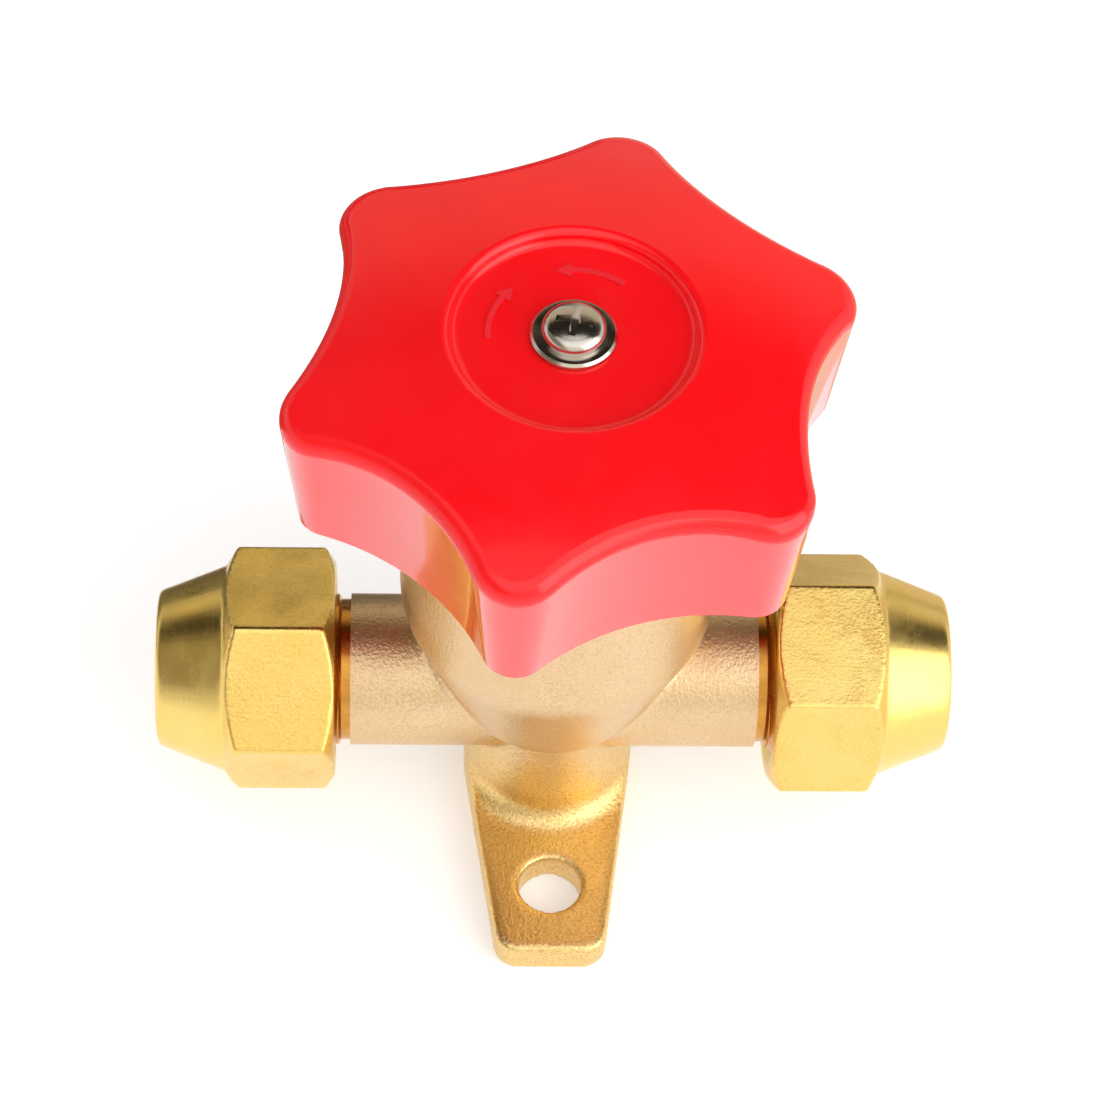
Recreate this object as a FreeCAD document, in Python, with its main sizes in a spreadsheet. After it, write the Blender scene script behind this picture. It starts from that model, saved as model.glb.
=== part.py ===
import FreeCAD, Part
import os
import re

import Sketcher

# Hand shut-off valve for refrigerant lines: a forged brass body with two flare ends and a foot,
# a bonnet that clamps a stack of diaphragms, and a six-lobed handwheel on a threaded spindle.
# Frame: the origin is on the foot's base under the spindle, +Z runs up the spindle,
# X runs along the two ports and the foot points to -Y. Lengths are millimetres.

# Driving dimensions: alias, value, what it measures
SIZES = [
    ("port_height", 20.0, "port axis above the foot's base"),
    ("port_bore_diameter", 10.8, "bore of each port"),
    ("port_web", 2.2, "metal left between the outlet bore and the inlet riser"),
    ("neck_diameter", 17.0, "round neck between the bell and the flare thread"),
    ("neck_reach", 22.6, "end of each neck from the spindle's axis"),
    ("flare_thread_diameter", 19.05, "outside diameter of the flare thread"),
    ("flare_relief_width", 1.1, "groove between each neck and its thread"),
    ("flare_relief_depth", 0.5, "the same groove below the neck"),
    ("flare_reach", 36.2, "tip of each flare end from the spindle's axis"),
    ("flare_seat_length", 2.5, "45 degree seat at the tip, along the port"),
    ("flare_tip_diameter", 12.8, "small end of the flare seat"),
    ("foot_thickness", 4.0, "plate of the foot"),
    ("foot_reach", 27.0, "front edge of the foot from the spindle's axis"),
    ("foot_end_width", 12.0, "width of the foot at its front edge"),
    ("foot_margin", 0.2, "foot wider than the column it runs into, on the radius"),
    ("foot_corner_radius", 2.6, "front corners of the foot seen from above"),
    ("foot_edge_radius", 0.7, "rounded upper edge of the foot"),
    ("foot_fillet_radius", 2.7, "hollow between the column and the foot"),
    ("foot_hole_reach", 18.4, "mounting hole from the spindle's axis"),
    ("foot_hole_diameter", 7.0, "mounting hole"),
    ("column_diameter", 18.9, "column between the foot and the bell"),
    ("lip_diameter", 22.2, "lower edge of the bell"),
    ("lip_drop", 0.7, "underside of the bell below the port axis"),
    ("lip_edge", 0.5, "bevel of the bell's lower edge"),
    ("bell_diameter", 34.4, "bell at its rim"),
    ("bell_shoulder_radius", 10.0, "arc between the bell's cone and the band under its rim"),
    ("bell_band_height", 14.1, "straight band under the rim"),
    ("bell_rim_bevel", 0.6, "bevel of the bell's rim"),
    ("seat_height", 11.0, "valve seat above the port axis"),
    ("seat_lip_height", 1.5, "seat above the chamber's floor"),
    ("seat_diameter", 13.4, "outside of the seat ring"),
    ("inlet_diameter", 10.0, "riser through the seat"),
    ("chamber_diameter", 21.6, "chamber around the seat"),
    ("outlet_slot_angle", 60.0, "sweep of the slot from the chamber to the outlet, degrees"),
    ("outlet_slot_margin", 0.2, "metal left beside the outlet slot"),
    ("thread_lead", 0.8, "bevel at the mouth of a threaded hole"),
    ("disc_diameter", 15.4, "seat disc"),
    ("disc_thickness", 2.0, "seat disc"),
    ("disc_proud", 0.6, "seat disc below its carrier"),
    ("carrier_height", 5.4, "disc carrier"),
    ("carrier_cup_diameter", 17.2, "cup of the carrier around the seat disc"),
    ("carrier_nose_diameter", 12.4, "end of the carrier against the diaphragms"),
    ("carrier_nose_root", 0.5, "cone at the root of the carrier's nose"),
    ("guide_thickness", 0.9, "guide flange of the carrier"),
    ("guide_clearance", 0.1, "guide flange to chamber, on the radius"),
    ("keeper_hole_diameter", 3.0, "hole in the seat disc and its washer"),
    ("keeper_washer_diameter", 7.6, "washer under the seat disc"),
    ("keeper_washer_thickness", 0.5, "washer under the seat disc"),
    ("keeper_head_diameter", 5.0, "head of the screw that holds the seat disc"),
    ("keeper_head_height", 1.6, "head of the screw that holds the seat disc"),
    ("keeper_length", 4.6, "shank of the screw that holds the seat disc"),
    ("keeper_hole_room", 0.3, "threaded hole beyond the end of the screw that holds the seat disc"),
    ("keeper_slot_width", 0.8, "slot of the screw that holds the seat disc"),
    ("keeper_slot_depth", 0.8, "slot of the screw that holds the seat disc"),
    ("small_bevel", 0.4, "bevels of the small turned pieces"),
    ("spring_wire_diameter", 0.9, "return spring"),
    ("spring_turns", 3.0, "return spring"),
    ("spring_gap", 0.05, "spring to its seats"),
    ("diaphragm_diameter", 27.4, "diaphragm"),
    ("diaphragm_sheet", 0.15, "thickness of one diaphragm"),
    ("diaphragm_sag", 1.0, "drop of the diaphragm's middle when the valve is shut"),
    ("slip_ring_thickness", 0.5, "ring that lets the bonnet turn on the diaphragms"),
    ("bonnet_thread_diameter", 28.0, "thread between bonnet and body"),
    ("bonnet_thread_length", 13.85, "clamping face to the underside of the hexagon"),
    ("bonnet_hex_across", 30.0, "hexagon of the bonnet, across flats"),
    ("bonnet_hex_height", 6.0, "hexagon of the bonnet"),
    ("bonnet_rim_gap", 0.3, "hexagon above the body's rim"),
    ("bonnet_hex_bevel", 0.3, "bevel of the bonnet's hexagon inside its flats"),
    ("bonnet_neck_diameter", 18.0, "neck of the bonnet"),
    ("bonnet_neck_height", 7.0, "neck of the bonnet"),
    ("bonnet_neck_bevel", 0.8, "upper end of the bonnet's neck"),
    ("bonnet_neck_root", 1.2, "cone at the root of the bonnet's neck"),
    ("bonnet_end_bevel", 0.7, "lower end of the bonnet's thread"),
    ("bonnet_relief_depth", 0.9, "groove between the bonnet's thread and its hexagon"),
    ("bonnet_relief_length", 1.0, "groove between the bonnet's thread and its hexagon"),
    ("bonnet_relief_run", 0.4, "sloped side of the same groove, along the spindle"),
    ("diaphragm_room", 0.8, "room over the diaphragms at their edge"),
    ("recess_slope", 3.0, "run over rise of the cone above the diaphragms"),
    ("bonnet_gland_length", 6.8, "plain bore at the top of the bonnet"),
    ("gland_bevel", 0.5, "mouth of the plain bore at the top of the bonnet"),
    ("thread_clearance", 0.05, "threads and running fits, on the radius"),
    ("travel", 2.5, "lift of the spindle from shut to open"),
    ("stop_clearance", 0.1, "collar to its stop when the valve is open"),
    ("pad_diameter", 13.0, "thrust pad"),
    ("pad_height", 2.6, "thrust pad"),
    ("pad_edge_radius", 0.8, "rounded lower edge of the thrust pad"),
    ("ball_diameter", 4.0, "ball between the pad and the spindle"),
    ("ball_gap", 0.5, "pad to spindle, across the ball"),
    ("collar_diameter", 14.8, "collar of the spindle"),
    ("collar_height", 2.45, "collar of the spindle"),
    ("collar_bevel", 0.5, "lower edge of the collar"),
    ("collar_room", 0.6, "collar to the bonnet's recess, on the radius"),
    ("spindle_thread_diameter", 12.0, "thread of the spindle"),
    ("spindle_relief_depth", 0.8, "groove between the collar and the thread"),
    ("spindle_relief_length", 1.2, "groove between the collar and the thread"),
    ("spindle_shank_diameter", 10.0, "plain shank of the spindle"),
    ("drive_square_across", 7.6, "square that turns the handwheel"),
    ("drive_clearance", 0.05, "square to handwheel, on each side"),
    ("drive_end_gap", 0.2, "end of the square below the handwheel's top"),
    ("square_bevel", 0.6, "end of the square"),
    ("square_step", 0.01, "corners of the square inside the shank's radius"),
    ("drive_web", 1.4, "handwheel's top left over the square"),
    ("ring_groove_width", 1.9, "groove of the spindle's seal ring"),
    ("ring_section", 1.3, "thickness of the seal ring"),
    ("ring_height", 2.4, "seal ring above the start of the plain bore"),
    ("wheel_screw_diameter", 4.0, "screw on top of the handwheel"),
    ("wheel_screw_length", 10.0, "shank of the screw on top of the handwheel"),
    ("wheel_screw_head_diameter", 6.6, "head of the screw on top of the handwheel"),
    ("wheel_screw_head_height", 2.0, "head of the screw on top of the handwheel"),
    ("wheel_screw_dome_radius", 6.0, "domed top of the screw's head"),
    ("wheel_screw_edge_height", 0.5, "straight side of the screw's head"),
    ("wheel_screw_edge_inset", 0.8, "dome's edge inside the head's side"),
    ("wheel_screw_edge_radius", 1.3, "arc between the head's side and its dome"),
    ("wheel_screw_tip_bevel", 0.5, "tip of the screw on top of the handwheel"),
    ("cross_arm_reach", 1.9, "arm of the cross recess from its middle"),
    ("cross_arm_width", 0.8, "arm of the cross recess"),
    ("cross_turn", -12.0, "cross recess about the screw's axis, degrees"),
    ("cross_depth", 1.3, "cross recess"),
    ("tap_depth", 11.0, "threaded hole in the top of the spindle"),
    ("washer_diameter", 8.8, "washer on top of the handwheel"),
    ("washer_hole_diameter", 4.3, "washer on top of the handwheel"),
    ("washer_thickness", 0.8, "washer on top of the handwheel"),
    ("hub_gap", 1.0, "handwheel's hub above the bonnet when the valve is shut"),
    ("hub_diameter", 16.0, "hub of the handwheel"),
    ("skirt_drop", 6.4, "rim of the handwheel below its hub"),
    ("wheel_height", 21.7, "handwheel from its lower rim to the crown's peak"),
    ("wheel_reach", 31.2, "lobe tips at the level of the crown's peak"),
    ("wheel_valley", 25.0, "valleys at the level of the crown's peak"),
    ("lobe_radius", 5.7, "rounding of each lobe at the level of the crown's peak"),
    ("wheel_taper", 2.3, "how far the skirt leans in over its height"),
    ("wheel_wall", 2.2, "skirt of the handwheel"),
    ("wheel_roof", 2.6, "top of the handwheel over its lobe tips"),
    ("wheel_edge_radius", 2.0, "rounded upper edge of the handwheel"),
    ("wheel_turn", 17.3, "turn of the lobes from the port axis, degrees"),
    ("crown_radius", 90.0, "sphere of the handwheel's top"),
    ("dish_diameter", 26.8, "dish in the handwheel's top"),
    ("dish_depth", 2.5, "dish below the crown's peak"),
    ("dish_slope", 75.0, "steepest slope of the dish's side, degrees"),
    ("rib_thickness", 1.8, "ribs under the handwheel"),
    ("rib_rise", 2.0, "ribs above the lower end of the hub"),
    ("rib_overlap", 0.5, "how far the ribs run into the top of the handwheel"),
    ("nut_face", 24.3, "inner face of each flare nut from the spindle's axis"),
    ("nut_hex_across", 24.0, "flare nut, across flats"),
    ("nut_hex_length", 12.1, "hexagon of the flare nut"),
    ("nut_hex_bevel", 0.2, "bevel of the flare nut's hexagon inside its flats"),
    ("nut_tail_length", 7.7, "cone behind the hexagon"),
    ("nut_tail_diameter", 23.2, "cone where it leaves the hexagon"),
    ("nut_end_diameter", 17.2, "outer end of the cone"),
    ("nut_end_radius", 0.8, "rounded outer end of the cone"),
    ("tube_diameter", 12.9, "bore of the flare nut for the tube"),
    ("tube_flare_wall", 0.9, "room for the tube's flare between the two seats"),
    ("nut_seat_relief", 0.3, "flare nut's inner seat inside its thread"),
    ("left_nut_turn", 46.0, "hexagon's corner from the horizontal, degrees"),
    ("right_nut_turn", 20.5, "hexagon's corner from the horizontal, degrees"),
    ("hex_bevel_angle", 30.0, "slope of the bevel on every hexagon, degrees"),
    ("overrun", 1.0, "how far a cut runs past the metal, or an added form runs into it"),
]
NAMES = {alias for alias, _, _ in SIZES}
WIRE_SIDES = 12  # flats around the spring's wire
NEAR = 0.01  # slack when an edge is picked by its place

# Levels and radii that follow from the driving dimensions
SEAT = "(port_height + seat_height)"
FLOOR = f"({SEAT} - seat_lip_height)"
CARRIER_FOOT = f"({SEAT} + disc_proud)"
CARRIER_TOP = f"({CARRIER_FOOT} + carrier_height)"
LEDGE = f"({CARRIER_TOP} + diaphragm_sag)"
GUIDE_TOP = f"({LEDGE} - travel - stop_clearance)"
GUIDE_FOOT = f"({GUIDE_TOP} - guide_thickness)"
DISC_TOP = f"({SEAT} + disc_thickness)"
STACK = "(3 * diaphragm_sheet)"
CLAMP = f"({LEDGE} + {STACK} + slip_ring_thickness)"
PAD_FOOT = f"({CARRIER_TOP} + {STACK})"
PAD_TOP = f"({PAD_FOOT} + pad_height)"
BALL = f"({PAD_TOP} + ball_gap / 2)"
SPINDLE_FOOT = f"({PAD_TOP} + ball_gap)"
COLLAR_TOP = f"({SPINDLE_FOOT} + collar_height)"
STOP = f"({COLLAR_TOP} + travel + stop_clearance)"
HEX_FOOT = f"({CLAMP} + bonnet_thread_length)"
RIM = f"({HEX_FOOT} - bonnet_rim_gap)"
HEX_TOP = f"({HEX_FOOT} + bonnet_hex_height)"
BONNET_TOP = f"({HEX_TOP} + bonnet_neck_height)"
GLAND = f"({BONNET_TOP} - bonnet_gland_length)"
SPINDLE_THREAD_TOP = f"({GLAND} - travel - 3 * stop_clearance)"
RING_LEVEL = f"({GLAND} + ring_height)"
HUB_FOOT = f"({BONNET_TOP} + hub_gap)"
WHEEL_FOOT = f"({HUB_FOOT} - skirt_drop)"
CROWN = f"({WHEEL_FOOT} + wheel_height)"
DISH = f"({CROWN} - dish_depth)"
SQUARE_TOP = f"({DISH} - drive_web - drive_end_gap)"
HEAD_FOOT = f"({DISH} + washer_thickness)"
FLARE_ROOT = "(flare_reach - flare_seat_length)"
FLARE_SEAT_RADIUS = "(flare_tip_diameter / 2 + flare_seat_length)"
NUT_SEAT_END = "(flare_reach + tube_flare_wall * sqrt(2) - (tube_diameter - flare_tip_diameter) / 2)"
NUT_HEX_END = "(nut_face + nut_hex_length)"
NUT_END = "(nut_face + nut_hex_length + nut_tail_length)"

doc = FreeCAD.newDocument("RefrigerantServiceValve")
sheet = doc.addObject("Spreadsheet::Sheet", "Sizes")
for row, (alias, value, note) in enumerate(SIZES, start=1):
    sheet.set(f"A{row}", alias)
    sheet.set(f"B{row}", str(value))
    sheet.set(f"C{row}", note)
    sheet.setAlias(f"B{row}", alias)
doc.recompute()
parts = []


def cells(formula):
    """The formula with every size's name turned into its cell of the sheet."""
    return re.sub(r"[a-z_]+", lambda word: "Sizes." + word[0] if word[0] in NAMES else word[0], formula)


def number(formula):
    return float(sheet.evalExpression(cells(formula)))


def bind(item, path, formula):
    item.setExpression(path, cells(formula))


def new_body(label):
    body = doc.addObject("PartDesign::Body", label)
    body.Label = label
    parts.append(body)
    return body


def new_sketch(body, name, role, shift="0", lift="0", away="0"):
    """A sketch on one of the body's own planes, with its origin moved across, up and off the plane."""
    sketch = body.newObject("Sketcher::SketchObject", name)
    plane = next(item for item in body.Origin.OriginFeatures if item.Role == role)
    sketch.AttachmentSupport = [(plane, "")]
    sketch.MapMode = "FlatFace"
    for path, formula in (("x", shift), ("y", lift), ("z", away)):
        if formula != "0":
            bind(sketch, "AttachmentOffset.Base." + path, formula)
    return sketch


def constrain(sketch, name, formula, kind, *where):
    constraint = Sketcher.Constraint(kind, *where, number(formula))
    constraint.Name = name
    sketch.addConstraint(constraint)
    bind(sketch, "Constraints." + name, formula)


def arc_between(start, end, radius, turn):
    """The short arc from start to end; turn is 1 for a left bend and -1 for a right bend."""
    chord = end - start
    rise = max(radius ** 2 - chord.Length ** 2 / 4, 0) ** 0.5
    left = FreeCAD.Vector(-chord.y, chord.x, 0).normalize()
    centre = (start + end) / 2 + left * rise * turn
    first, last = (start, end) if turn > 0 else (end, start)
    across = FreeCAD.Vector(1, 0, 0)
    angles = []
    for spot in (first, last):
        arm = spot - centre
        angles.append(across.getAngle(arm) * (1 if arm.y >= 0 else -1))
    circle = Part.Circle(centre, FreeCAD.Vector(0, 0, 1), radius)
    return Part.ArcOfCircle(circle, angles[0], angles[1])


def draw(sketch, corners):
    """Closed outline through the corners: (x, y), or (x, y, radius, turn) where an arc leads there."""
    base = sketch.GeometryCount
    spots = [FreeCAD.Vector(number(corner[0]), number(corner[1]), 0) for corner in corners]
    ends = []
    for index, corner in enumerate(corners):
        start, end = spots[index - 1], spots[index]
        if len(corner) == 2:
            sketch.addGeometry(Part.LineSegment(start, end), False)
            ends.append((1, 2))
        else:
            sketch.addGeometry(arc_between(start, end, number(corner[2]), corner[3]), False)
            ends.append((1, 2) if corner[3] > 0 else (2, 1))
    for index, corner in enumerate(corners):
        after = (index + 1) % len(corners)
        here, there = base + index, base + after
        sketch.addConstraint(Sketcher.Constraint("Coincident", here, ends[index][1], there, ends[after][0]))
        constrain(sketch, f"across_{here}", corner[0], "DistanceX", -1, 1, here, ends[index][1])
        constrain(sketch, f"along_{here}", corner[1], "DistanceY", -1, 1, here, ends[index][1])
        if len(corner) > 2:
            constrain(sketch, f"bend_{here}", corner[2], "Radius", here)


def draw_circle(sketch, radius, across="0", along="0"):
    index = sketch.GeometryCount
    centre = FreeCAD.Vector(number(across), number(along), 0)
    sketch.addGeometry(Part.Circle(centre, FreeCAD.Vector(0, 0, 1), number(radius)), False)
    constrain(sketch, f"across_{index}", across, "DistanceX", -1, 1, index, 3)
    constrain(sketch, f"along_{index}", along, "DistanceY", -1, 1, index, 3)
    constrain(sketch, f"round_{index}", radius, "Radius", index)


def polygon(radius, count, start=0.0):
    """Corners of a regular polygon, as formulas."""
    corners = []
    for index in range(count):
        angle = start + 360.0 * index / count
        corners.append((f"{radius} * cos({angle} deg)", f"{radius} * sin({angle} deg)"))
    return corners


def turned(body, name, sketch, cut=False, axis="V_Axis", angle="360"):
    """The sketch turned about its own axis, as metal added or as metal cut away."""
    doc.recompute()
    before = body.Shape.Volume if body.Shape.Solids else 0.0
    kind = "PartDesign::Groove" if cut else "PartDesign::Revolution"
    feature = body.newObject(kind, name)
    feature.Profile = sketch
    feature.ReferenceAxis = (sketch, [axis])
    if angle != "360":
        feature.Midplane = True
    bind(feature, "Angle", angle)
    settle(feature)
    changed(body, name, before, cut)
    return feature


def pushed(body, name, sketch, length, cut=False, back=False):
    """The sketch pushed straight along its normal, or back along it."""
    doc.recompute()
    before = body.Shape.Volume if body.Shape.Solids else 0.0
    kind = "PartDesign::Pocket" if cut else "PartDesign::Pad"
    feature = body.newObject(kind, name)
    feature.Profile = sketch
    feature.Reversed = cut != back
    bind(feature, "Length", length)
    settle(feature)
    changed(body, name, before, cut)
    return feature


def settle(feature):
    """Recomputes, and stops at once if the feature failed."""
    doc.recompute()
    if "Invalid" in feature.State or "Error" in feature.State:
        raise RuntimeError(f"{feature.getParentGeoFeatureGroup().Label}: {feature.Label} failed")


def changed(body, name, before, cut):
    after = body.Shape.Volume
    if (after >= before) if cut else (after <= before):
        raise RuntimeError(f"{body.Label}: {name} changed nothing")


def dressed(body, name, size, test, kind="Fillet"):
    """A fillet or chamfer on the edges of the body for which the test holds."""
    doc.recompute()
    base = body.Tip
    names = [f"Edge{index}" for index, edge in enumerate(base.Shape.Edges, start=1) if test(edge)]
    feature = body.newObject("PartDesign::" + kind, name)
    feature.Base = (base, names)
    bind(feature, "Radius" if kind == "Fillet" else "Size", size)
    settle(feature)
    return feature


def repeated(body, name, feature, count):
    """The feature repeated around the body's Z axis."""
    axis = next(item for item in body.Origin.OriginFeatures if item.Role == "Z_Axis")
    pattern = body.newObject("PartDesign::PolarPattern", name)
    pattern.Originals = [feature]
    pattern.Axis = (axis, [""])
    pattern.Angle = 360
    pattern.Occurrences = count
    body.Tip = pattern
    doc.recompute()
    return pattern


def flat_ring(label, outer, inner, level, thickness):
    """A plain ring, as one cylinder cut from another."""
    pair = []
    for name, radius in (("Outside", outer), ("Hole", inner)):
        cylinder = doc.addObject("Part::Cylinder", label + "_" + name.lower())
        bind(cylinder, "Radius", radius)
        bind(cylinder, "Height", thickness)
        pair.append(cylinder)
    ring = doc.addObject("Part::Cut", label)
    ring.Base, ring.Tool = pair
    ring.Label = label
    bind(ring, "Placement.Base.z", level)
    parts.append(ring)
    return ring


def valve_body():
    """The forging: foot, column, bell and two flare ends, bored for the flow."""
    body = new_body("valve_body")
    radius = "column_diameter / 2"
    top = "(foot_thickness + foot_fillet_radius)"
    half, heel = "foot_end_width / 2", f"({radius} + foot_margin)"
    slant = f"(atan2(foot_reach; {half}) - acos({heel} / sqrt(foot_reach ^ 2 + ({half}) ^ 2)))"
    side, back = f"{heel} * cos({slant})", f"-{heel} * sin({slant})"
    plan = new_sketch(body, "FootPlan", "XY_Plane")
    draw(plan, [
        (half, "-foot_reach"),
        (f"-{half}", "-foot_reach"),
        (f"-{side}", back),
        ("0", heel, heel, -1),
        (side, back, heel, -1),
    ])
    pushed(body, "FootBlock", plan, top)
    front = number("-foot_reach")
    dressed(body, "FootCorners", "foot_corner_radius",
            lambda edge: edge.BoundBox.YMax < front + NEAR and edge.BoundBox.ZLength > 1)
    hollow = new_sketch(body, "FootHollow", "XZ_Plane")
    draw(hollow, [
        (f"{radius} + foot_fillet_radius", "foot_thickness", "foot_fillet_radius", 1),
        ("foot_reach + 10 * overrun", "foot_thickness"),
        ("foot_reach + 10 * overrun", f"{top} + overrun"),
        (radius, f"{top} + overrun"),
        (radius, top),
    ])
    turned(body, "FootShape", hollow, cut=True)
    dressed(body, "FootEdges", "foot_edge_radius", foot_rim)

    lip = "(port_height - lip_drop)"
    shoulder = "bell_shoulder_radius"
    inward = f"((bell_diameter - lip_diameter) / 2 - {shoulder})"
    rise = f"({RIM} - bell_band_height - {lip} - lip_edge)"
    slant = f"(atan2({rise}; -{inward}) - acos({shoulder} / sqrt({inward} ^ 2 + {rise} ^ 2)))"
    bell = new_sketch(body, "BellProfile", "XZ_Plane")
    draw(bell, [
        (radius, "0"),
        (radius, lip),
        ("lip_diameter / 2", f"{lip} + lip_edge"),
        (f"bell_diameter / 2 - {shoulder} * (1 - cos({slant}))",
         f"{RIM} - bell_band_height - {shoulder} * sin({slant})"),
        ("bell_diameter / 2", f"{RIM} - bell_band_height", shoulder, 1),
        ("bell_diameter / 2", f"{RIM} - bell_rim_bevel"),
        ("bell_diameter / 2 - bell_rim_bevel", RIM),
        ("0", RIM),
        ("0", "0"),
    ])
    turned(body, "Bell", bell)

    ports = new_sketch(body, "PortProfile", "XZ_Plane", lift="port_height")
    thread = "flare_thread_diameter / 2"
    relief = "(neck_diameter / 2 - flare_relief_depth)"
    right = [
        ("flare_reach", "0"),
        ("flare_reach", "flare_tip_diameter / 2"),
        (FLARE_ROOT, FLARE_SEAT_RADIUS),
        (f"{FLARE_ROOT} - ({thread} - {FLARE_SEAT_RADIUS})", thread),
        (f"neck_reach + flare_relief_width + {thread} - {relief}", thread),
        ("neck_reach + flare_relief_width", relief),
        ("neck_reach", relief),
        ("neck_reach", "neck_diameter / 2"),
    ]
    left = [("-(" + across + ")", along) for across, along in reversed(right)]
    draw(ports, right + left)
    turned(body, "Ports", ports, axis="H_Axis")

    chamber = new_sketch(body, "ChamberProfile", "XZ_Plane")
    thread = "(bonnet_thread_diameter / 2 + thread_clearance)"
    draw(chamber, [
        ("0", "port_height"),
        ("inlet_diameter / 2", "port_height"),
        ("inlet_diameter / 2", SEAT),
        ("seat_diameter / 2", SEAT),
        ("seat_diameter / 2", FLOOR),
        ("chamber_diameter / 2", FLOOR),
        ("chamber_diameter / 2", LEDGE),
        (thread, LEDGE),
        (thread, f"{RIM} - thread_lead"),
        (f"{thread} + thread_lead", RIM),
        (f"{thread} + thread_lead", f"{RIM} + overrun"),
        ("0", f"{RIM} + overrun"),
    ])
    turned(body, "Chamber", chamber, cut=True)

    bores = new_sketch(body, "PortBores", "XZ_Plane", lift="port_height")
    bore = "port_bore_diameter / 2"
    draw(bores, [
        ("-flare_reach - overrun", "0"),
        ("0", "0"),
        ("0", bore),
        ("-flare_reach - overrun", bore),
    ])
    draw(bores, [
        ("inlet_diameter / 2 + port_web", "0"),
        ("flare_reach + overrun", "0"),
        ("flare_reach + overrun", bore),
        ("inlet_diameter / 2 + port_web", bore),
    ])
    turned(body, "Bores", bores, cut=True, axis="H_Axis")

    slot = new_sketch(body, "OutletSlot", "XZ_Plane")
    draw(slot, [
        ("seat_diameter / 2 + outlet_slot_margin", "port_height"),
        ("chamber_diameter / 2 - outlet_slot_margin", "port_height"),
        ("chamber_diameter / 2 - outlet_slot_margin", f"{FLOOR} + outlet_slot_margin"),
        ("seat_diameter / 2 + outlet_slot_margin", f"{FLOOR} + outlet_slot_margin"),
    ])
    turned(body, "Outlet", slot, cut=True, angle="outlet_slot_angle")

    hole = new_sketch(body, "FootHole", "XY_Plane")
    draw_circle(hole, "foot_hole_diameter / 2", along="-foot_hole_reach")
    pushed(body, "MountingHole", hole, "foot_thickness", cut=True)


def foot_rim(edge):
    """Edges between the foot's sides and its upper face."""
    box = edge.BoundBox
    level = number("foot_thickness")
    high = box.ZMin > level - NEAR and box.ZMax < level + NEAR
    outside = box.YMax < number("-column_diameter / 2")
    return high and outside


def flare_nut(label, side, turn):
    """A short flare nut on one port: side is 1 for the outlet on +X and -1 for the inlet on -X."""
    body = new_body(label)
    bind(body, "Placement.Base.z", "port_height")
    body.Placement.Rotation = FreeCAD.Rotation(FreeCAD.Vector(1, 0, 0), number(turn))
    bind(body, "Placement.Rotation.Angle", turn)
    corner = "nut_hex_across / 2 / cos(30 deg)"
    hexagon = new_sketch(body, "Hexagon", "YZ_Plane", away=f"{side} * nut_face")
    draw(hexagon, polygon(corner, 6))
    pushed(body, "Hex", hexagon, "nut_hex_length", back=side < 0)

    outside = f"({corner} + overrun)"
    touch = "(nut_hex_across / 2 - nut_hex_bevel)"
    chamfer = f"({outside} - {touch}) * tan(hex_bevel_angle * 1 deg)"
    bevels = new_sketch(body, "HexChamfers", "XZ_Plane")
    for face, way in (("nut_face", 1), (NUT_HEX_END, -1)):
        draw(bevels, [
            (f"{side} * {face}", touch),
            (f"{side} * ({face} + {way} * {chamfer})", outside),
            (f"{side} * {face}", outside),
        ])
    turned(body, "Chamfered", bevels, cut=True, axis="H_Axis")

    tail = new_sketch(body, "TailProfile", "XZ_Plane")
    draw(tail, [
        (f"{side} * ({NUT_HEX_END} - overrun)", "0"),
        (f"{side} * {NUT_END}", "0"),
        (f"{side} * {NUT_END}", "nut_end_diameter / 2"),
        (f"{side} * {NUT_HEX_END}", "nut_tail_diameter / 2"),
        (f"{side} * ({NUT_HEX_END} - overrun)", "nut_tail_diameter / 2"),
    ])
    turned(body, "Tail", tail, axis="H_Axis")
    end = number(NUT_END)
    dressed(body, "TailEnd", "nut_end_radius", lambda edge: abs(edge.BoundBox.Center.x) > end - NEAR)

    bore = new_sketch(body, "BoreProfile", "XZ_Plane")
    thread = "(flare_thread_diameter / 2 + thread_clearance)"
    seat = "(flare_thread_diameter / 2 - nut_seat_relief)"
    tube = "(tube_diameter / 2)"
    draw(bore, [
        (f"{side} * (nut_face - overrun)", "0"),
        (f"{side} * ({NUT_END} + overrun)", "0"),
        (f"{side} * ({NUT_END} + overrun)", tube),
        (f"{side} * {NUT_SEAT_END}", tube),
        (f"{side} * ({NUT_SEAT_END} - {seat} + {tube})", seat),
        (f"{side} * ({NUT_SEAT_END} - {seat} + {tube})", thread),
        (f"{side} * (nut_face + thread_lead)", thread),
        (f"{side} * nut_face", f"{thread} + thread_lead"),
        (f"{side} * (nut_face - overrun)", f"{thread} + thread_lead"),
    ])
    turned(body, "Bored", bore, cut=True, axis="H_Axis")


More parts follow.
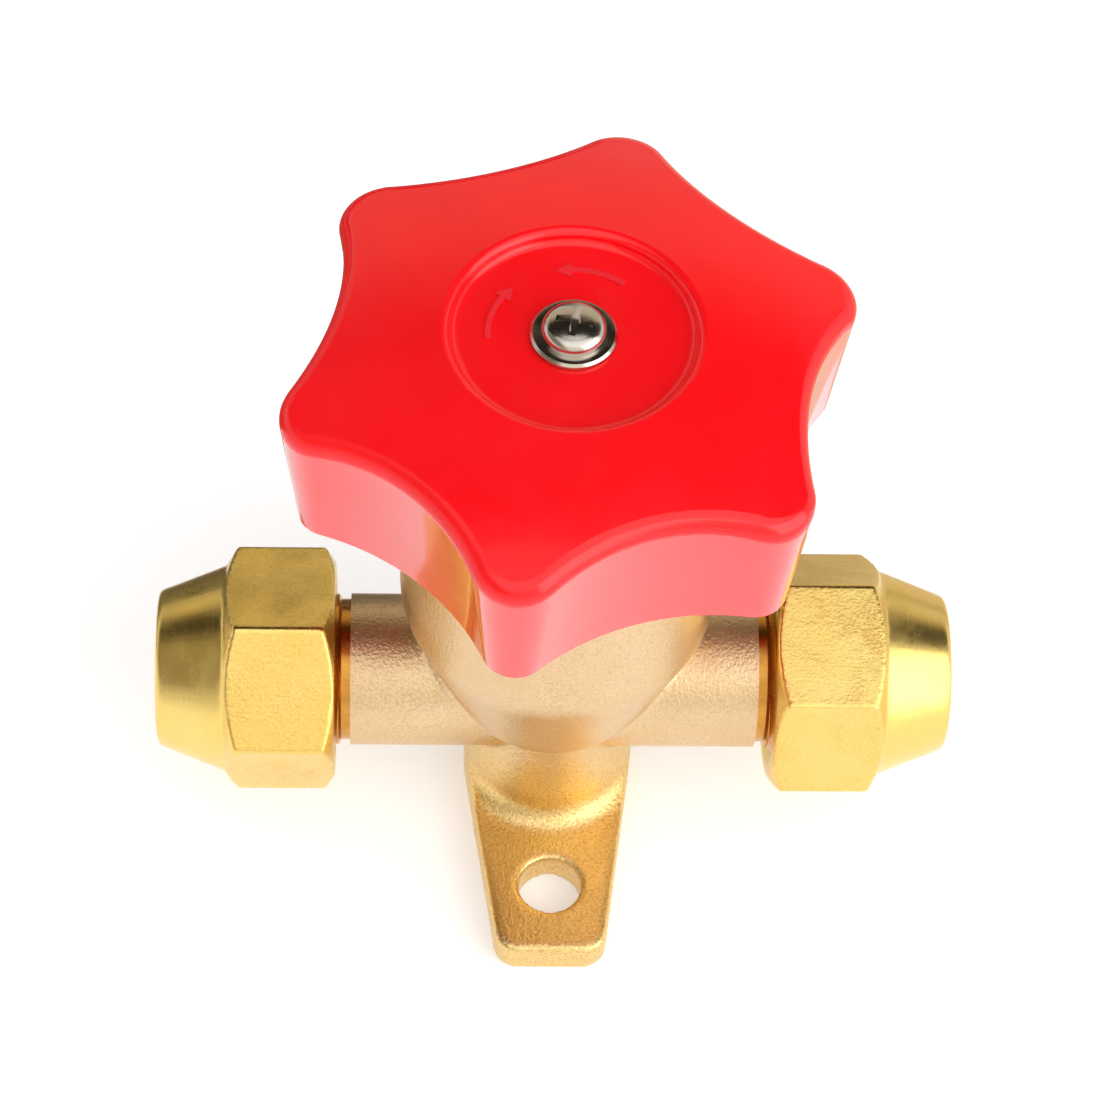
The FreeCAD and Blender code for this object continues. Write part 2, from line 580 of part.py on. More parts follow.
def bonnet():
    """The screwed cover that clamps the diaphragms and carries the spindle's thread."""
    body = new_body("bonnet")
    corner = "bonnet_hex_across / 2 / cos(30 deg)"
    hexagon = new_sketch(body, "Hexagon", "XY_Plane", away=HEX_FOOT)
    draw(hexagon, polygon(corner, 6))
    pushed(body, "Hex", hexagon, "bonnet_hex_height")
    bevel = new_sketch(body, "HexChamfer", "XZ_Plane")
    touch = "(bonnet_hex_across / 2 - bonnet_hex_bevel)"
    outside = f"({corner} + overrun)"
    draw(bevel, [
        (touch, HEX_TOP),
        (outside, f"{HEX_TOP} - ({outside} - {touch}) * tan(hex_bevel_angle * 1 deg)"),
        (outside, HEX_TOP),
    ])
    turned(body, "Chamfered", bevel, cut=True)

    outer = new_sketch(body, "OuterProfile", "XZ_Plane")
    thread = "bonnet_thread_diameter / 2"
    neck = "bonnet_neck_diameter / 2"
    draw(outer, [
        ("0", CLAMP),
        (f"{thread} - bonnet_end_bevel", CLAMP),
        (thread, f"{CLAMP} + bonnet_end_bevel"),
        (thread, f"{HEX_FOOT} - bonnet_relief_length - bonnet_relief_run"),
        (f"{thread} - bonnet_relief_depth", f"{HEX_FOOT} - bonnet_relief_length"),
        (f"{thread} - bonnet_relief_depth", HEX_FOOT),
        (f"{neck} + bonnet_neck_root", HEX_FOOT),
        (f"{neck} + bonnet_neck_root", HEX_TOP),
        (neck, f"{HEX_TOP} + bonnet_neck_root"),
        (neck, f"{BONNET_TOP} - bonnet_neck_bevel"),
        (f"{neck} - bonnet_neck_bevel", BONNET_TOP),
        ("0", BONNET_TOP),
    ])
    turned(body, "Outside", outer)

    inside = new_sketch(body, "InnerProfile", "XZ_Plane")
    recess = "(collar_diameter / 2 + collar_room)"
    spindle = "(spindle_thread_diameter / 2 + thread_clearance)"
    gland = "(spindle_shank_diameter / 2 + thread_clearance)"
    cavity = "(chamber_diameter / 2)"
    shelf = f"({CLAMP} + diaphragm_sag + diaphragm_room)"
    draw(inside, [
        ("0", f"{CLAMP} - overrun"),
        (cavity, f"{CLAMP} - overrun"),
        (cavity, shelf),
        (recess, f"{shelf} + ({cavity} - {recess}) / recess_slope"),
        (recess, STOP),
        (spindle, STOP),
        (spindle, GLAND),
        (gland, f"{GLAND} + {spindle} - {gland}"),
        (gland, f"{BONNET_TOP} - gland_bevel"),
        (f"{gland} + gland_bevel", BONNET_TOP),
        (f"{gland} + gland_bevel", f"{BONNET_TOP} + overrun"),
        ("0", f"{BONNET_TOP} + overrun"),
    ])
    turned(body, "Inside", inside, cut=True)


def diaphragm(label, layer):
    """One sheet of the stack, pressed down in the middle because the valve is shut."""
    body = new_body(label)
    rise = f"({layer} * diaphragm_sheet)"
    middle = "(carrier_nose_diameter / 2)"
    bend = "(chamber_diameter / 2)"
    edge = "(diaphragm_diameter / 2)"
    profile = new_sketch(body, "SheetProfile", "XZ_Plane")
    draw(profile, [
        ("0", f"{CARRIER_TOP} + {rise}"),
        (middle, f"{CARRIER_TOP} + {rise}"),
        (bend, f"{LEDGE} + {rise}"),
        (edge, f"{LEDGE} + {rise}"),
        (edge, f"{LEDGE} + {rise} + diaphragm_sheet"),
        (bend, f"{LEDGE} + {rise} + diaphragm_sheet"),
        (middle, f"{CARRIER_TOP} + {rise} + diaphragm_sheet"),
        ("0", f"{CARRIER_TOP} + {rise} + diaphragm_sheet"),
    ])
    turned(body, "Sheet", profile)


def disc_carrier():
    """The lower stem: a cup for the seat disc, a guide flange and a nose under the diaphragms."""
    body = new_body("disc_carrier")
    profile = new_sketch(body, "CarrierProfile", "XZ_Plane")
    cup, nose = "carrier_cup_diameter / 2", "carrier_nose_diameter / 2"
    flange = "(chamber_diameter / 2 - guide_clearance)"
    draw(profile, [
        ("disc_diameter / 2", CARRIER_FOOT),
        (cup, CARRIER_FOOT),
        (cup, GUIDE_FOOT),
        (flange, GUIDE_FOOT),
        (flange, GUIDE_TOP),
        (f"{nose} + carrier_nose_root", GUIDE_TOP),
        (nose, f"{GUIDE_TOP} + carrier_nose_root"),
        (nose, f"{CARRIER_TOP} - small_bevel"),
        (f"{nose} - small_bevel", CARRIER_TOP),
        ("0", CARRIER_TOP),
        ("0", DISC_TOP),
        ("disc_diameter / 2", DISC_TOP),
    ])
    turned(body, "Carrier", profile)
    hole = new_sketch(body, "KeeperHole", "XY_Plane", away=DISC_TOP)
    draw_circle(hole, "keeper_hole_diameter / 2 + thread_clearance")
    pushed(body, "Tapped", hole, "keeper_length + keeper_hole_room - disc_thickness - keeper_washer_thickness", cut=True)


def keeper_screw():
    """The small slotted screw that holds the seat disc in its carrier."""
    body = new_body("disc_screw")
    face = f"({SEAT} - keeper_washer_thickness)"
    shank, head = "keeper_hole_diameter / 2", "keeper_head_diameter / 2"
    profile = new_sketch(body, "ScrewProfile", "XZ_Plane")
    draw(profile, [
        ("0", f"{face} - keeper_head_height"),
        (f"{head} - small_bevel", f"{face} - keeper_head_height"),
        (head, f"{face} - keeper_head_height + small_bevel"),
        (head, face),
        (shank, face),
        (shank, f"{face} + keeper_length - small_bevel"),
        (f"{shank} - small_bevel", f"{face} + keeper_length"),
        ("0", f"{face} + keeper_length"),
    ])
    turned(body, "Screw", profile)
    slot = new_sketch(body, "Slot", "XY_Plane", away=f"{face} - keeper_head_height")
    draw(slot, box_corners("keeper_slot_width / 2", f"{head} + overrun"))
    pushed(body, "Slotted", slot, "keeper_slot_depth", cut=True)


def box_corners(half_width, half_depth):
    return [
        (half_width, f"-({half_depth})"),
        (half_width, half_depth),
        (f"-({half_width})", half_depth),
        (f"-({half_width})", f"-({half_depth})"),
    ]


def return_spring():
    """The coil that lifts the carrier off its seat, pressed short while the valve is shut."""
    body = new_body("return_spring")
    wire = "(spring_wire_diameter / 2)"
    coil = f"((chamber_diameter / 2 - guide_clearance + carrier_cup_diameter / 2) / 2)"
    foot = f"({FLOOR} + spring_gap + {wire})"
    head = f"({GUIDE_FOOT} - spring_gap - {wire})"
    section = new_sketch(body, "WireSection", "XZ_Plane", lift=foot)
    draw(section, [(f"{coil} + {along}", across) for along, across in polygon(wire, WIRE_SIDES)])
    spring = body.newObject("PartDesign::AdditiveHelix", "Coil")
    spring.Profile = section
    spring.ReferenceAxis = (section, ["V_Axis"])
    spring.Mode = "height-turns-angle"
    bind(spring, "Height", f"{head} - {foot}")
    bind(spring, "Turns", "spring_turns")
    doc.recompute()


def thrust_pad():
    """The pad that spreads the spindle's push over the diaphragms and doesn't turn."""
    body = new_body("thrust_pad")
    profile = new_sketch(body, "PadProfile", "XZ_Plane")
    edge = "pad_diameter / 2"
    socket = "(ball_diameter / 2 + thread_clearance)"
    mouth = f"sqrt({socket} ^ 2 - (ball_gap / 2) ^ 2)"
    draw(profile, [
        ("0", PAD_FOOT),
        (f"{edge} - pad_edge_radius", PAD_FOOT),
        (edge, f"{PAD_FOOT} + pad_edge_radius", "pad_edge_radius", 1),
        (edge, f"{PAD_TOP} - small_bevel"),
        (f"{edge} - small_bevel", PAD_TOP),
        (mouth, PAD_TOP),
        ("0", f"{BALL} - {socket}", socket, -1),
    ])
    turned(body, "Pad", profile)


def thrust_ball():
    ball = doc.addObject("Part::Sphere", "thrust_ball")
    ball.Label = "thrust_ball"
    bind(ball, "Radius", "ball_diameter / 2")
    bind(ball, "Placement.Base.z", BALL)
    parts.append(ball)


def spindle():
    """The threaded spindle: collar, thread, sealed shank and a square for the handwheel."""
    body = new_body("spindle")
    profile = new_sketch(body, "SpindleProfile", "XZ_Plane")
    collar, thread = "collar_diameter / 2", "spindle_thread_diameter / 2"
    shank = "spindle_shank_diameter / 2"
    socket = "(ball_diameter / 2 + thread_clearance)"
    mouth = f"sqrt({socket} ^ 2 - (ball_gap / 2) ^ 2)"
    groove = f"({shank} - ring_section + thread_clearance)"
    low = f"({RING_LEVEL} - ring_groove_width / 2)"
    high = f"({RING_LEVEL} + ring_groove_width / 2)"
    draw(profile, [
        (f"{collar} - collar_bevel", SPINDLE_FOOT),
        (collar, f"{SPINDLE_FOOT} + collar_bevel"),
        (collar, COLLAR_TOP),
        (f"{thread} - spindle_relief_depth", COLLAR_TOP),
        (f"{thread} - spindle_relief_depth", f"{COLLAR_TOP} + spindle_relief_length"),
        (thread, f"{COLLAR_TOP} + spindle_relief_length + spindle_relief_depth"),
        (thread, f"{SPINDLE_THREAD_TOP} - ({thread} - {shank})"),
        (shank, SPINDLE_THREAD_TOP),
        (shank, low),
        (groove, low),
        (groove, high),
        (shank, high),
        (shank, HUB_FOOT),
        (f"{shank} - square_step", HUB_FOOT),
        (f"{shank} - square_step", f"{SQUARE_TOP} - square_bevel"),
        (f"{shank} - square_bevel", SQUARE_TOP),
        ("0", SQUARE_TOP),
        ("0", f"{BALL} + {socket}"),
        (mouth, SPINDLE_FOOT, socket, -1),
    ])
    turned(body, "Turned", profile)
    flat = new_sketch(body, "Flat", "XY_Plane", away=HUB_FOOT)
    half = "drive_square_across / 2"
    draw(flat, [
        (half, f"-({shank})"),
        (f"{shank} + overrun", f"-({shank})"),
        (f"{shank} + overrun", shank),
        (half, shank),
    ])
    first = pushed(body, "FirstFlat", flat, f"{SQUARE_TOP} - {HUB_FOOT}", cut=True)
    repeated(body, "Square", first, 4)
    hole = new_sketch(body, "ScrewHole", "XY_Plane", away=SQUARE_TOP)
    draw_circle(hole, "wheel_screw_diameter / 2 + thread_clearance")
    pushed(body, "Tapped", hole, "tap_depth", cut=True, back=True)


def seal_ring():
    ring = doc.addObject("Part::Torus", "spindle_seal_ring")
    ring.Label = "spindle_seal_ring"
    section = "(ring_section / 2 - thread_clearance / 2)"
    bind(ring, "Radius2", section)
    bind(ring, "Radius1", f"spindle_shank_diameter / 2 - {section} + thread_clearance / 2")
    bind(ring, "Placement.Base.z", RING_LEVEL)
    parts.append(ring)


def lobed_outline(sketch, inset):
    """Six round lobes joined by round valleys, drawn inside the handwheel's outline by the inset."""
    reach, valley = f"(wheel_reach - {inset})", f"(wheel_valley - {inset})"
    lobe = f"(lobe_radius - {inset})"
    centre = f"({reach} - {lobe})"
    hollow = (f"(({valley} ^ 2 - {lobe} ^ 2 + {centre} ^ 2 - 2 * {centre} * {valley} * cos(30 deg))"
              f" / (2 * ({centre} * cos(30 deg) - {valley} + {lobe})))")
    share = f"({lobe} / ({lobe} + {hollow}))"
    out = f"({centre} + {share} * (({valley} + {hollow}) * cos(30 deg) - {centre}))"
    side = f"({share} * ({valley} + {hollow}) * sin(30 deg))"
    corners = []
    for index in range(6):
        turn = f"(wheel_turn * 1 deg + {60 * index} deg)"
        before = (f"{out} * cos({turn}) + {side} * sin({turn})", f"{out} * sin({turn}) - {side} * cos({turn})")
        after = (f"{out} * cos({turn}) - {side} * sin({turn})", f"{out} * sin({turn}) + {side} * cos({turn})")
        corners.append((*before, hollow, -1))
        corners.append((*after, lobe, 1))
    draw(sketch, corners)


def lobed_prism(body, name, inset, low, high, cut=False):
    """A leaning lobed prism between two levels, lofted between its lower and its upper outline."""
    outlines = []
    for part, level in (("Low", low), ("High", high)):
        outline = new_sketch(body, name + part, "XY_Plane", away=level)
        lean = f"(wheel_taper * ({CROWN} - {level}) / wheel_height + {inset})"
        lobed_outline(outline, lean)
        outlines.append(outline)
    doc.recompute()
    before = body.Shape.Volume if body.Shape.Solids else 0.0
    loft = body.newObject("PartDesign::SubtractiveLoft" if cut else "PartDesign::AdditiveLoft", name)
    loft.Profile = outlines[0]
    loft.Sections = outlines[1:]
    loft.Ruled = True
    doc.recompute()
    changed(body, name, before, cut)
    return loft


def handwheel():
    """The moulded handwheel: a crowned top with a dish, a leaning skirt, a hub and six ribs."""
    body = new_body("handwheel")
    lobed_prism(body, "Lobes", "0", WHEEL_FOOT, CROWN)

    crown = new_sketch(body, "CrownProfile", "XZ_Plane")
    outside = "(wheel_reach + 2 * overrun)"
    draw(crown, [
        (outside, f"{CROWN} - crown_radius + sqrt(crown_radius ^ 2 - {outside} ^ 2)", "crown_radius", -1),
        (outside, f"{CROWN} + overrun"),
        ("0", f"{CROWN} + overrun"),
        ("0", CROWN),
    ])
    turned(body, "Crown", crown, cut=True)
    low = number(f"{WHEEL_FOOT} + wheel_height / 2")
    dressed(body, "TopEdge", "wheel_edge_radius", lambda edge: edge.BoundBox.ZMin > low)

    dish = new_sketch(body, "DishProfile", "XZ_Plane")
    rim = "(dish_diameter / 2)"
    rim_level = f"({CROWN} - crown_radius + sqrt(crown_radius ^ 2 - {rim} ^ 2))"
    bend = f"(({rim_level} - {DISH}) / (2 * (1 - cos(dish_slope * 1 deg))))"
    run = f"({bend} * sin(dish_slope * 1 deg))"
    draw(dish, [
        ("0", DISH),
        (f"{rim} - 2 * {run}", DISH),
        (f"{rim} - {run}", f"({DISH} + {rim_level}) / 2", bend, 1),
        (rim, rim_level, bend, -1),
        (rim, f"{CROWN} + overrun"),
        ("0", f"{CROWN} + overrun"),
    ])
    turned(body, "Dish", dish, cut=True)

    tip_level = f"({CROWN} - crown_radius + sqrt(crown_radius ^ 2 - wheel_reach ^ 2))"
    roof = f"({tip_level} - wheel_roof)"
    lobed_prism(body, "Hollow", "wheel_wall", f"({WHEEL_FOOT} - overrun / 2)", roof, cut=True)

    hub = new_sketch(body, "HubCircle", "XY_Plane", away=HUB_FOOT)
    draw_circle(hub, "hub_diameter / 2")
    pushed(body, "Hub", hub, f"{DISH} - overrun - {HUB_FOOT}")
    rib = new_sketch(body, "RibPlan", "XY_Plane", away=f"{HUB_FOOT} + rib_rise")
    draw(rib, rib_corners())
    first = pushed(body, "FirstRib", rib, f"{roof} + rib_overlap - {HUB_FOOT} - rib_rise")
    repeated(body, "Ribs", first, 6)

    square = new_sketch(body, "SquareHole", "XY_Plane", away=HUB_FOOT)
    draw(square, box_corners("drive_square_across / 2 + drive_clearance",
                             "drive_square_across / 2 + drive_clearance"))
    pushed(body, "Drive", square, f"{DISH} - drive_web - {HUB_FOOT}", cut=True)
    hole = new_sketch(body, "ScrewHole", "XY_Plane", away=HUB_FOOT)
    draw_circle(hole, "washer_hole_diameter / 2")
    pushed(body, "ScrewWay", hole, f"{DISH} + overrun - {HUB_FOOT}", cut=True)


def rib_corners():
    """One rib from the hub to the middle of a valley."""
    turn = "(wheel_turn * 1 deg + 30 deg)"
    near = "(hub_diameter / 2 - overrun)"
    far = "(wheel_valley - wheel_taper - wheel_wall / 2)"
    half = "(rib_thickness / 2)"
    corners = []
    for along, across in ((near, f"(-{half})"), (far, f"(-{half})"), (far, half), (near, half)):
        corners.append((f"{along} * cos({turn}) - {across} * sin({turn})",
                        f"{along} * sin({turn}) + {across} * cos({turn})"))
    return corners


def handwheel_screw():
    """The cross-recessed pan-head screw that holds the handwheel."""
    body = new_body("handwheel_screw")
    shank, head = "wheel_screw_diameter / 2", "wheel_screw_head_diameter / 2"
    top = f"({HEAD_FOOT} + wheel_screw_head_height)"
    dome, crest = "wheel_screw_dome_radius", f"({head} - wheel_screw_edge_inset)"
    profile = new_sketch(body, "ScrewProfile", "XZ_Plane")
    draw(profile, [
        ("0", f"{HEAD_FOOT} - wheel_screw_length"),
        (f"{shank} - wheel_screw_tip_bevel", f"{HEAD_FOOT} - wheel_screw_length"),
        (shank, f"{HEAD_FOOT} - wheel_screw_length + wheel_screw_tip_bevel"),
        (shank, HEAD_FOOT),
        (head, HEAD_FOOT),
        (head, f"{HEAD_FOOT} + wheel_screw_edge_height"),
        (crest, f"{top} - {dome} + sqrt({dome} ^ 2 - {crest} ^ 2)", "wheel_screw_edge_radius", 1),
        ("0", top, dome, 1),
    ])
    turned(body, "Screw", profile)
    recess = new_sketch(body, "Recess", "XY_Plane", away=top)
    arm, half = "cross_arm_reach", "(cross_arm_width / 2)"
    corners = []
    for quarter in range(4):
        turn = f"(cross_turn * 1 deg + {90 * quarter} deg)"
        for along, across in ((arm, f"(-{half})"), (arm, half), (half, half)):
            corners.append((f"{along} * cos({turn}) - {across} * sin({turn})",
                            f"{along} * sin({turn}) + {across} * cos({turn})"))
    draw(recess, corners)
    pushed(body, "Cross", recess, "cross_depth", cut=True, back=True)


valve_body()
flare_nut("flare_nut_inlet", -1, "left_nut_turn")
flare_nut("flare_nut_outlet", 1, "right_nut_turn")
bonnet()
flat_ring("slip_ring", "diaphragm_diameter / 2", "chamber_diameter / 2",
          f"{LEDGE} + {STACK}", "slip_ring_thickness")
for layer, label in enumerate(("diaphragm_lower", "diaphragm_middle", "diaphragm_upper")):
    diaphragm(label, layer)
disc_carrier()
flat_ring("seat_disc", "disc_diameter / 2", "keeper_hole_diameter / 2 + thread_clearance",
          SEAT, "disc_thickness")
flat_ring("disc_washer", "keeper_washer_diameter / 2", "keeper_hole_diameter / 2 + thread_clearance",
          f"{SEAT} - keeper_washer_thickness", "keeper_washer_thickness")
keeper_screw()
return_spring()
thrust_pad()
thrust_ball()
spindle()
seal_ring()
handwheel()
flat_ring("plain_washer", "washer_diameter / 2", "washer_hole_diameter / 2", DISH, "washer_thickness")
handwheel_screw()

doc.recompute()
for item in doc.Objects:
    if "Invalid" in item.State or "Error" in item.State:
        raise RuntimeError(f"{item.Label} did not recompute: {item.State}")
for part in parts:
    if part.Shape.isNull() or not part.Shape.isValid():
        raise RuntimeError(f"{part.Label} has no valid shape")
os.makedirs("parts", exist_ok=True)
for part in parts:
    part.Shape.exportStep(f"parts/{part.Label}.step")
    print(part.Label, len(part.Shape.Solids), round(part.Shape.Volume, 1))
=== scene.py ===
"""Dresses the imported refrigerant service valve: forged brass, flare nuts, and a red handwheel."""

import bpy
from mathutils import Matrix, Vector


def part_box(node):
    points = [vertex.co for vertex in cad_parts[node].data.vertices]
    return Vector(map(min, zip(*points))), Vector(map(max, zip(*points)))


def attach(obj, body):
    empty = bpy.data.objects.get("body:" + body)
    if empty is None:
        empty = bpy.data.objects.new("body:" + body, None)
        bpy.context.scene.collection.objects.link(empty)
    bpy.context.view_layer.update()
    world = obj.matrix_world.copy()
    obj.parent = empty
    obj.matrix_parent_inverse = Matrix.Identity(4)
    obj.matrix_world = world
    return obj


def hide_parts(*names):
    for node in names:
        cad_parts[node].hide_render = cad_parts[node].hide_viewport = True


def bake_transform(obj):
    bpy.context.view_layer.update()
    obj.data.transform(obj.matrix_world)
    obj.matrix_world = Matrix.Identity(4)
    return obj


bl_info = {
    "name": "Refrigerant service valve",
    "version": (1, 0, 0),
    "blender": (4, 5, 0),
    "location": "3D View > Sidebar > Valve",
    "description": "Builds the dressed pieces of a hand shut-off valve around its packed frame",
    "category": "Object",
}

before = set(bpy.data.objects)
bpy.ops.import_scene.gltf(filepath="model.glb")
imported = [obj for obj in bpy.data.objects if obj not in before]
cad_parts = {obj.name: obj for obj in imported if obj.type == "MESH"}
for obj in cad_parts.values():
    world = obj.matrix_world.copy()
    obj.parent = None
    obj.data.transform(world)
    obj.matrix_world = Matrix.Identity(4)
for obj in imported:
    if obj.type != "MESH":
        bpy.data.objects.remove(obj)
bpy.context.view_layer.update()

import math

import bpy
from bpy.props import FloatProperty, FloatVectorProperty, IntProperty, PointerProperty
from mathutils import Vector

MM = 0.001
FULL_TURN = 2 * math.pi
PORT_LEVEL = 20.0 * MM

# Flare ends, in millimetres: radii of the passage and of the seat's two ends, then places along the port
FLARE_BORE, SEAT_FOOT, SEAT_TIP = 5.4, 8.9, 6.4
FLARE_TIP, SEAT_LENGTH, THREAD_RUN_OUT = 36.2, 2.5, 0.6

# Washer, in millimetres
WASHER_HOLE, WASHER_RIM, WASHER_THICKNESS = 2.15, 4.4, 0.8

# Heights on the casting over which the foot's golden painted reflection gives way to the bell's colour; then
# where one
# finish gives way to the next: reach along the port on the nuts, and on the handwheel the reach from the middle
# of its crown's sphere, and the height of its dish
FOOT_TOP, COLUMN_TOP = 10.0 * MM, 18.0 * MM
HEXAGON_END, CONE_START = 36.3 * MM, 36.7 * MM
CROWN_CENTRE, CROWN_EDGE, CROWN_SKIN = (0.0, 0.0, 11.6 * MM), 69.9 * MM, 70.2 * MM
DISH_EDGE, DISH_SKIN = 79.0 * MM, 79.4 * MM

# Name, place, side of the square and power of each lamp
LAMPS = (
    ("key_lamp", (0.24, -0.78, 0.84), 1.80, 6.2),
    ("right_lamp", (0.75, -0.45, 0.36), 0.96, 4.8),
)
LAMPS_AIM = Vector((0.0, 0.0, 40.0 * MM))

# Warm tint of the cards that metal and plastic mirror; then the name, middle, turn in degrees and spans of each,
# the axis along which its level changes, between which places, and the level at both
CARD_TINT = (1.0, 0.86, 0.62, 1.0)
CARDS = (
    ("ceiling_card", (0.0, 1.61, 1.0), (0, 0, 0), (3.6, 3.14), "Y", (0.85, 1.40), (0.03, 0.72)),
    ("left_card", (-0.95, -0.45, 0.80), (0, 90, 0), (0.9, 1.5), "Z", (0.35, 1.25), (0.30, 0.30)),
    ("front_card", (0.0, -2.1, 0.95), (90, 0, 0), (3.6, 1.5), "Z", (0.30, 1.60), (0.45, 0.60)),
    ("back_card", (0.0, 1.3, 0.17), (90, 0, 0), (3.6, 0.34), "X", (0.06, 0.13), (0.02, 0.55)),
    ("low_back_card", (0.0, 0.34, 0.5 * MM), (0, 0, 0), (1.4, 0.60), "X", (-0.02, 0.06), (0.16, 0.82)),
)

# Name, way round seen from above, and turn of the tail from the X axis in degrees
ARROWS = (
    ("opening_arrow", 1, 52.0),
    ("closing_arrow", -1, 183.0),
)


def length(name, description, millimetres):
    return FloatProperty(
        name=name, description=description, default=millimetres * MM, unit="LENGTH", precision=5)


def smoothing(name, description, default):
    return IntProperty(name=name, description=description, default=default, min=0)


def colour(name, description, default):
    return FloatVectorProperty(
        name=name, description=description, default=default, subtype="COLOR", min=0.0, max=1.0)


class ValveSizes(bpy.types.PropertyGroup):
    forging_step: length("Forging step", "Mesh step of the forging's softened skin", 0.42)
    forging_rounds: smoothing("Forging smoothing", "Rounds of smoothing that soften the forging's edges", 4)
    nut_step: length("Nut step", "Mesh step of the flare nuts' softened skin", 0.26)
    nut_rounds: smoothing("Nut smoothing", "Rounds of smoothing that break the nuts' edges", 3)
    bonnet_step: length("Bonnet step", "Mesh step of the bonnet's softened skin", 0.30)
    bonnet_rounds: smoothing("Bonnet smoothing", "Rounds of smoothing that break the bonnet's edges", 2)
    thread_pitch: length("Flare thread pitch", "Crest to crest of the flare thread", 1.5875)
    thread_crest: length("Flare thread crest", "Radius of the flare thread's crests", 9.45)
    thread_root: length("Flare thread root", "Radius of the flare thread's roots", 8.45)
    groove_floor: length("Groove floor", "Radius of the groove between each neck and its thread", 7.9)
    neck_radius: length("Neck radius", "Round neck between the bell and the thread", 8.5)
    neck_end: length("Neck end", "Machined end of each neck, from the spindle's axis", 22.6)
    thread_start: length("Thread start", "Start of each flare thread, from the spindle's axis", 23.6)
    thread_shown: length(
        "Thread shown", "End of the drawn thread inside its nut, from the spindle's axis", 26.4)
    arrow_radius: length("Arrow radius", "Middle line of the turn arrows in the handwheel's dish", 8.6)
    arrow_width: length("Arrow width", "Width of the turn arrows' shafts", 0.6)
    arrow_height: length("Arrow height", "How far the turn arrows stand up from the dish", 0.22)
    diaphragm_sheet: length("Diaphragm sheet", "Thickness of one diaphragm", 0.15)
    spring_seat: length(
        "Spring seat", "Height of each end coil of the return spring, which doesn't stretch", 0.30)
    camera_place: FloatVectorProperty(
        name="Camera", description="Where the photograph was taken from",
        default=(-0.017000, -0.243307, 0.380259), subtype="XYZ", unit="LENGTH", precision=5)
    camera_turn: FloatVectorProperty(
        name="Camera turn", description="Which way the camera looks",
        default=(math.radians(35.6779), math.radians(-2.1640), math.radians(-1.0064)), subtype="EULER",
        unit="ROTATION")
    camera_lens: FloatProperty(
        name="Lens", description="Focal length over a 36 mm frame, in millimetres", default=124.16)


class ValveColours(bpy.types.PropertyGroup):
    forged: colour("Forged brass", "Blasted skin of the bell and the necks", (0.79, 0.59, 0.36))
    # The foot's golden colour is painted reflection, standing in for how light falls on the foot
    foot_painted_reflection: colour("Golden forged brass", "Blasted skin of the foot", (0.90, 0.66, 0.28))
    forged_deep: colour("Deep forged brass", "Darker patches and pits of the forging", (0.52, 0.30, 0.10))
    nut: colour("Nut brass", "Flats of the flare nuts", (0.88, 0.62, 0.17))
    nut_deep: colour("Deep nut brass", "Pits in the flats of the flare nuts", (0.72, 0.46, 0.11))
    nut_pale: colour("Pale nut brass", "Lighter patches of the flare nuts", (0.90, 0.70, 0.30))
    turned_metal: colour("Turned brass", "Bonnet, spindle and inner pieces", (0.72, 0.50, 0.20))
    # Brass darkened with painted shade, standing in for the shade in the groove between each nut and its neck
    flare_brass_and_painted_shade: colour(
        "Thread brass", "Stained brass of the flare threads and their grooves", (0.66, 0.31, 0.06))
    wheel: colour("Handwheel", "Moulded plastic of the handwheel", (0.98, 0.003, 0.008))
    wheel_deep: colour("Deep handwheel", "Slightly darker flow of the plastic", (0.92, 0.002, 0.006))
    plating: colour("Plating", "Nickel plate of the screw and the washer", (0.58, 0.53, 0.47))
    steel: colour("Steel", "Stainless sheet, wire and small screws", (0.58, 0.57, 0.55))
    floor: colour("Floor", "Studio floor", (0.90, 0.90, 0.90))


def sizes():
    return bpy.context.scene.valve_sizes


def colours():
    return bpy.context.scene.valve_colours


# Objects and meshes

def select_only(piece):
    for other in bpy.context.selected_objects:
        other.select_set(False)
    piece.select_set(True)
    bpy.context.view_layer.objects.active = piece


def edit(piece):
    select_only(piece)
    bpy.ops.object.mode_set(mode="EDIT")
    bpy.ops.mesh.select_all(action="SELECT")


def done(piece, smooth=35):
    """Leaves edit mode, puts the piece's place into its mesh and shades it."""
    if bpy.context.mode != "OBJECT":
        bpy.ops.object.mode_set(mode="OBJECT")
    select_only(piece)
    bpy.ops.object.transform_apply(location=True, rotation=True, scale=True)
    bpy.ops.object.shade_smooth_by_angle(angle=math.radians(smooth))
    return piece


def close_up(piece):
    """Merges doubles and turns every face outwards."""
    edit(piece)
    bpy.ops.mesh.remove_doubles(threshold=0.002 * MM)
    bpy.ops.mesh.normals_make_consistent(inside=False)
    bpy.ops.object.mode_set(mode="OBJECT")


def modifier(piece, kind, **settings):
    """Adds a modifier with its settings and applies it."""
    select_only(piece)
    bpy.ops.object.modifier_add(type=kind)
    added = piece.modifiers[-1]
    for key, value in settings.items():
        setattr(added, key, value)
    bpy.ops.object.modifier_apply(modifier=added.name)


def copied(node, name):
    """A CAD node's form as a piece of its own, with its loose triangles merged."""
    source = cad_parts[node]
    piece = bpy.data.objects.new(name, source.data.copy())
    bpy.context.scene.collection.objects.link(piece)
    piece.data.materials.clear()
    select_only(piece)
    if piece.data.has_custom_normals:
        bpy.ops.mesh.customdata_custom_splitnormals_clear()
    close_up(piece)
    return piece


def softened(piece, step, rounds):
    """Gives the piece an even skin and breaks its edges."""
    modifier(piece, "REMESH", mode="VOXEL", voxel_size=step, adaptivity=0.0)
    modifier(piece, "SMOOTH", factor=0.5, iterations=rounds)
    return piece


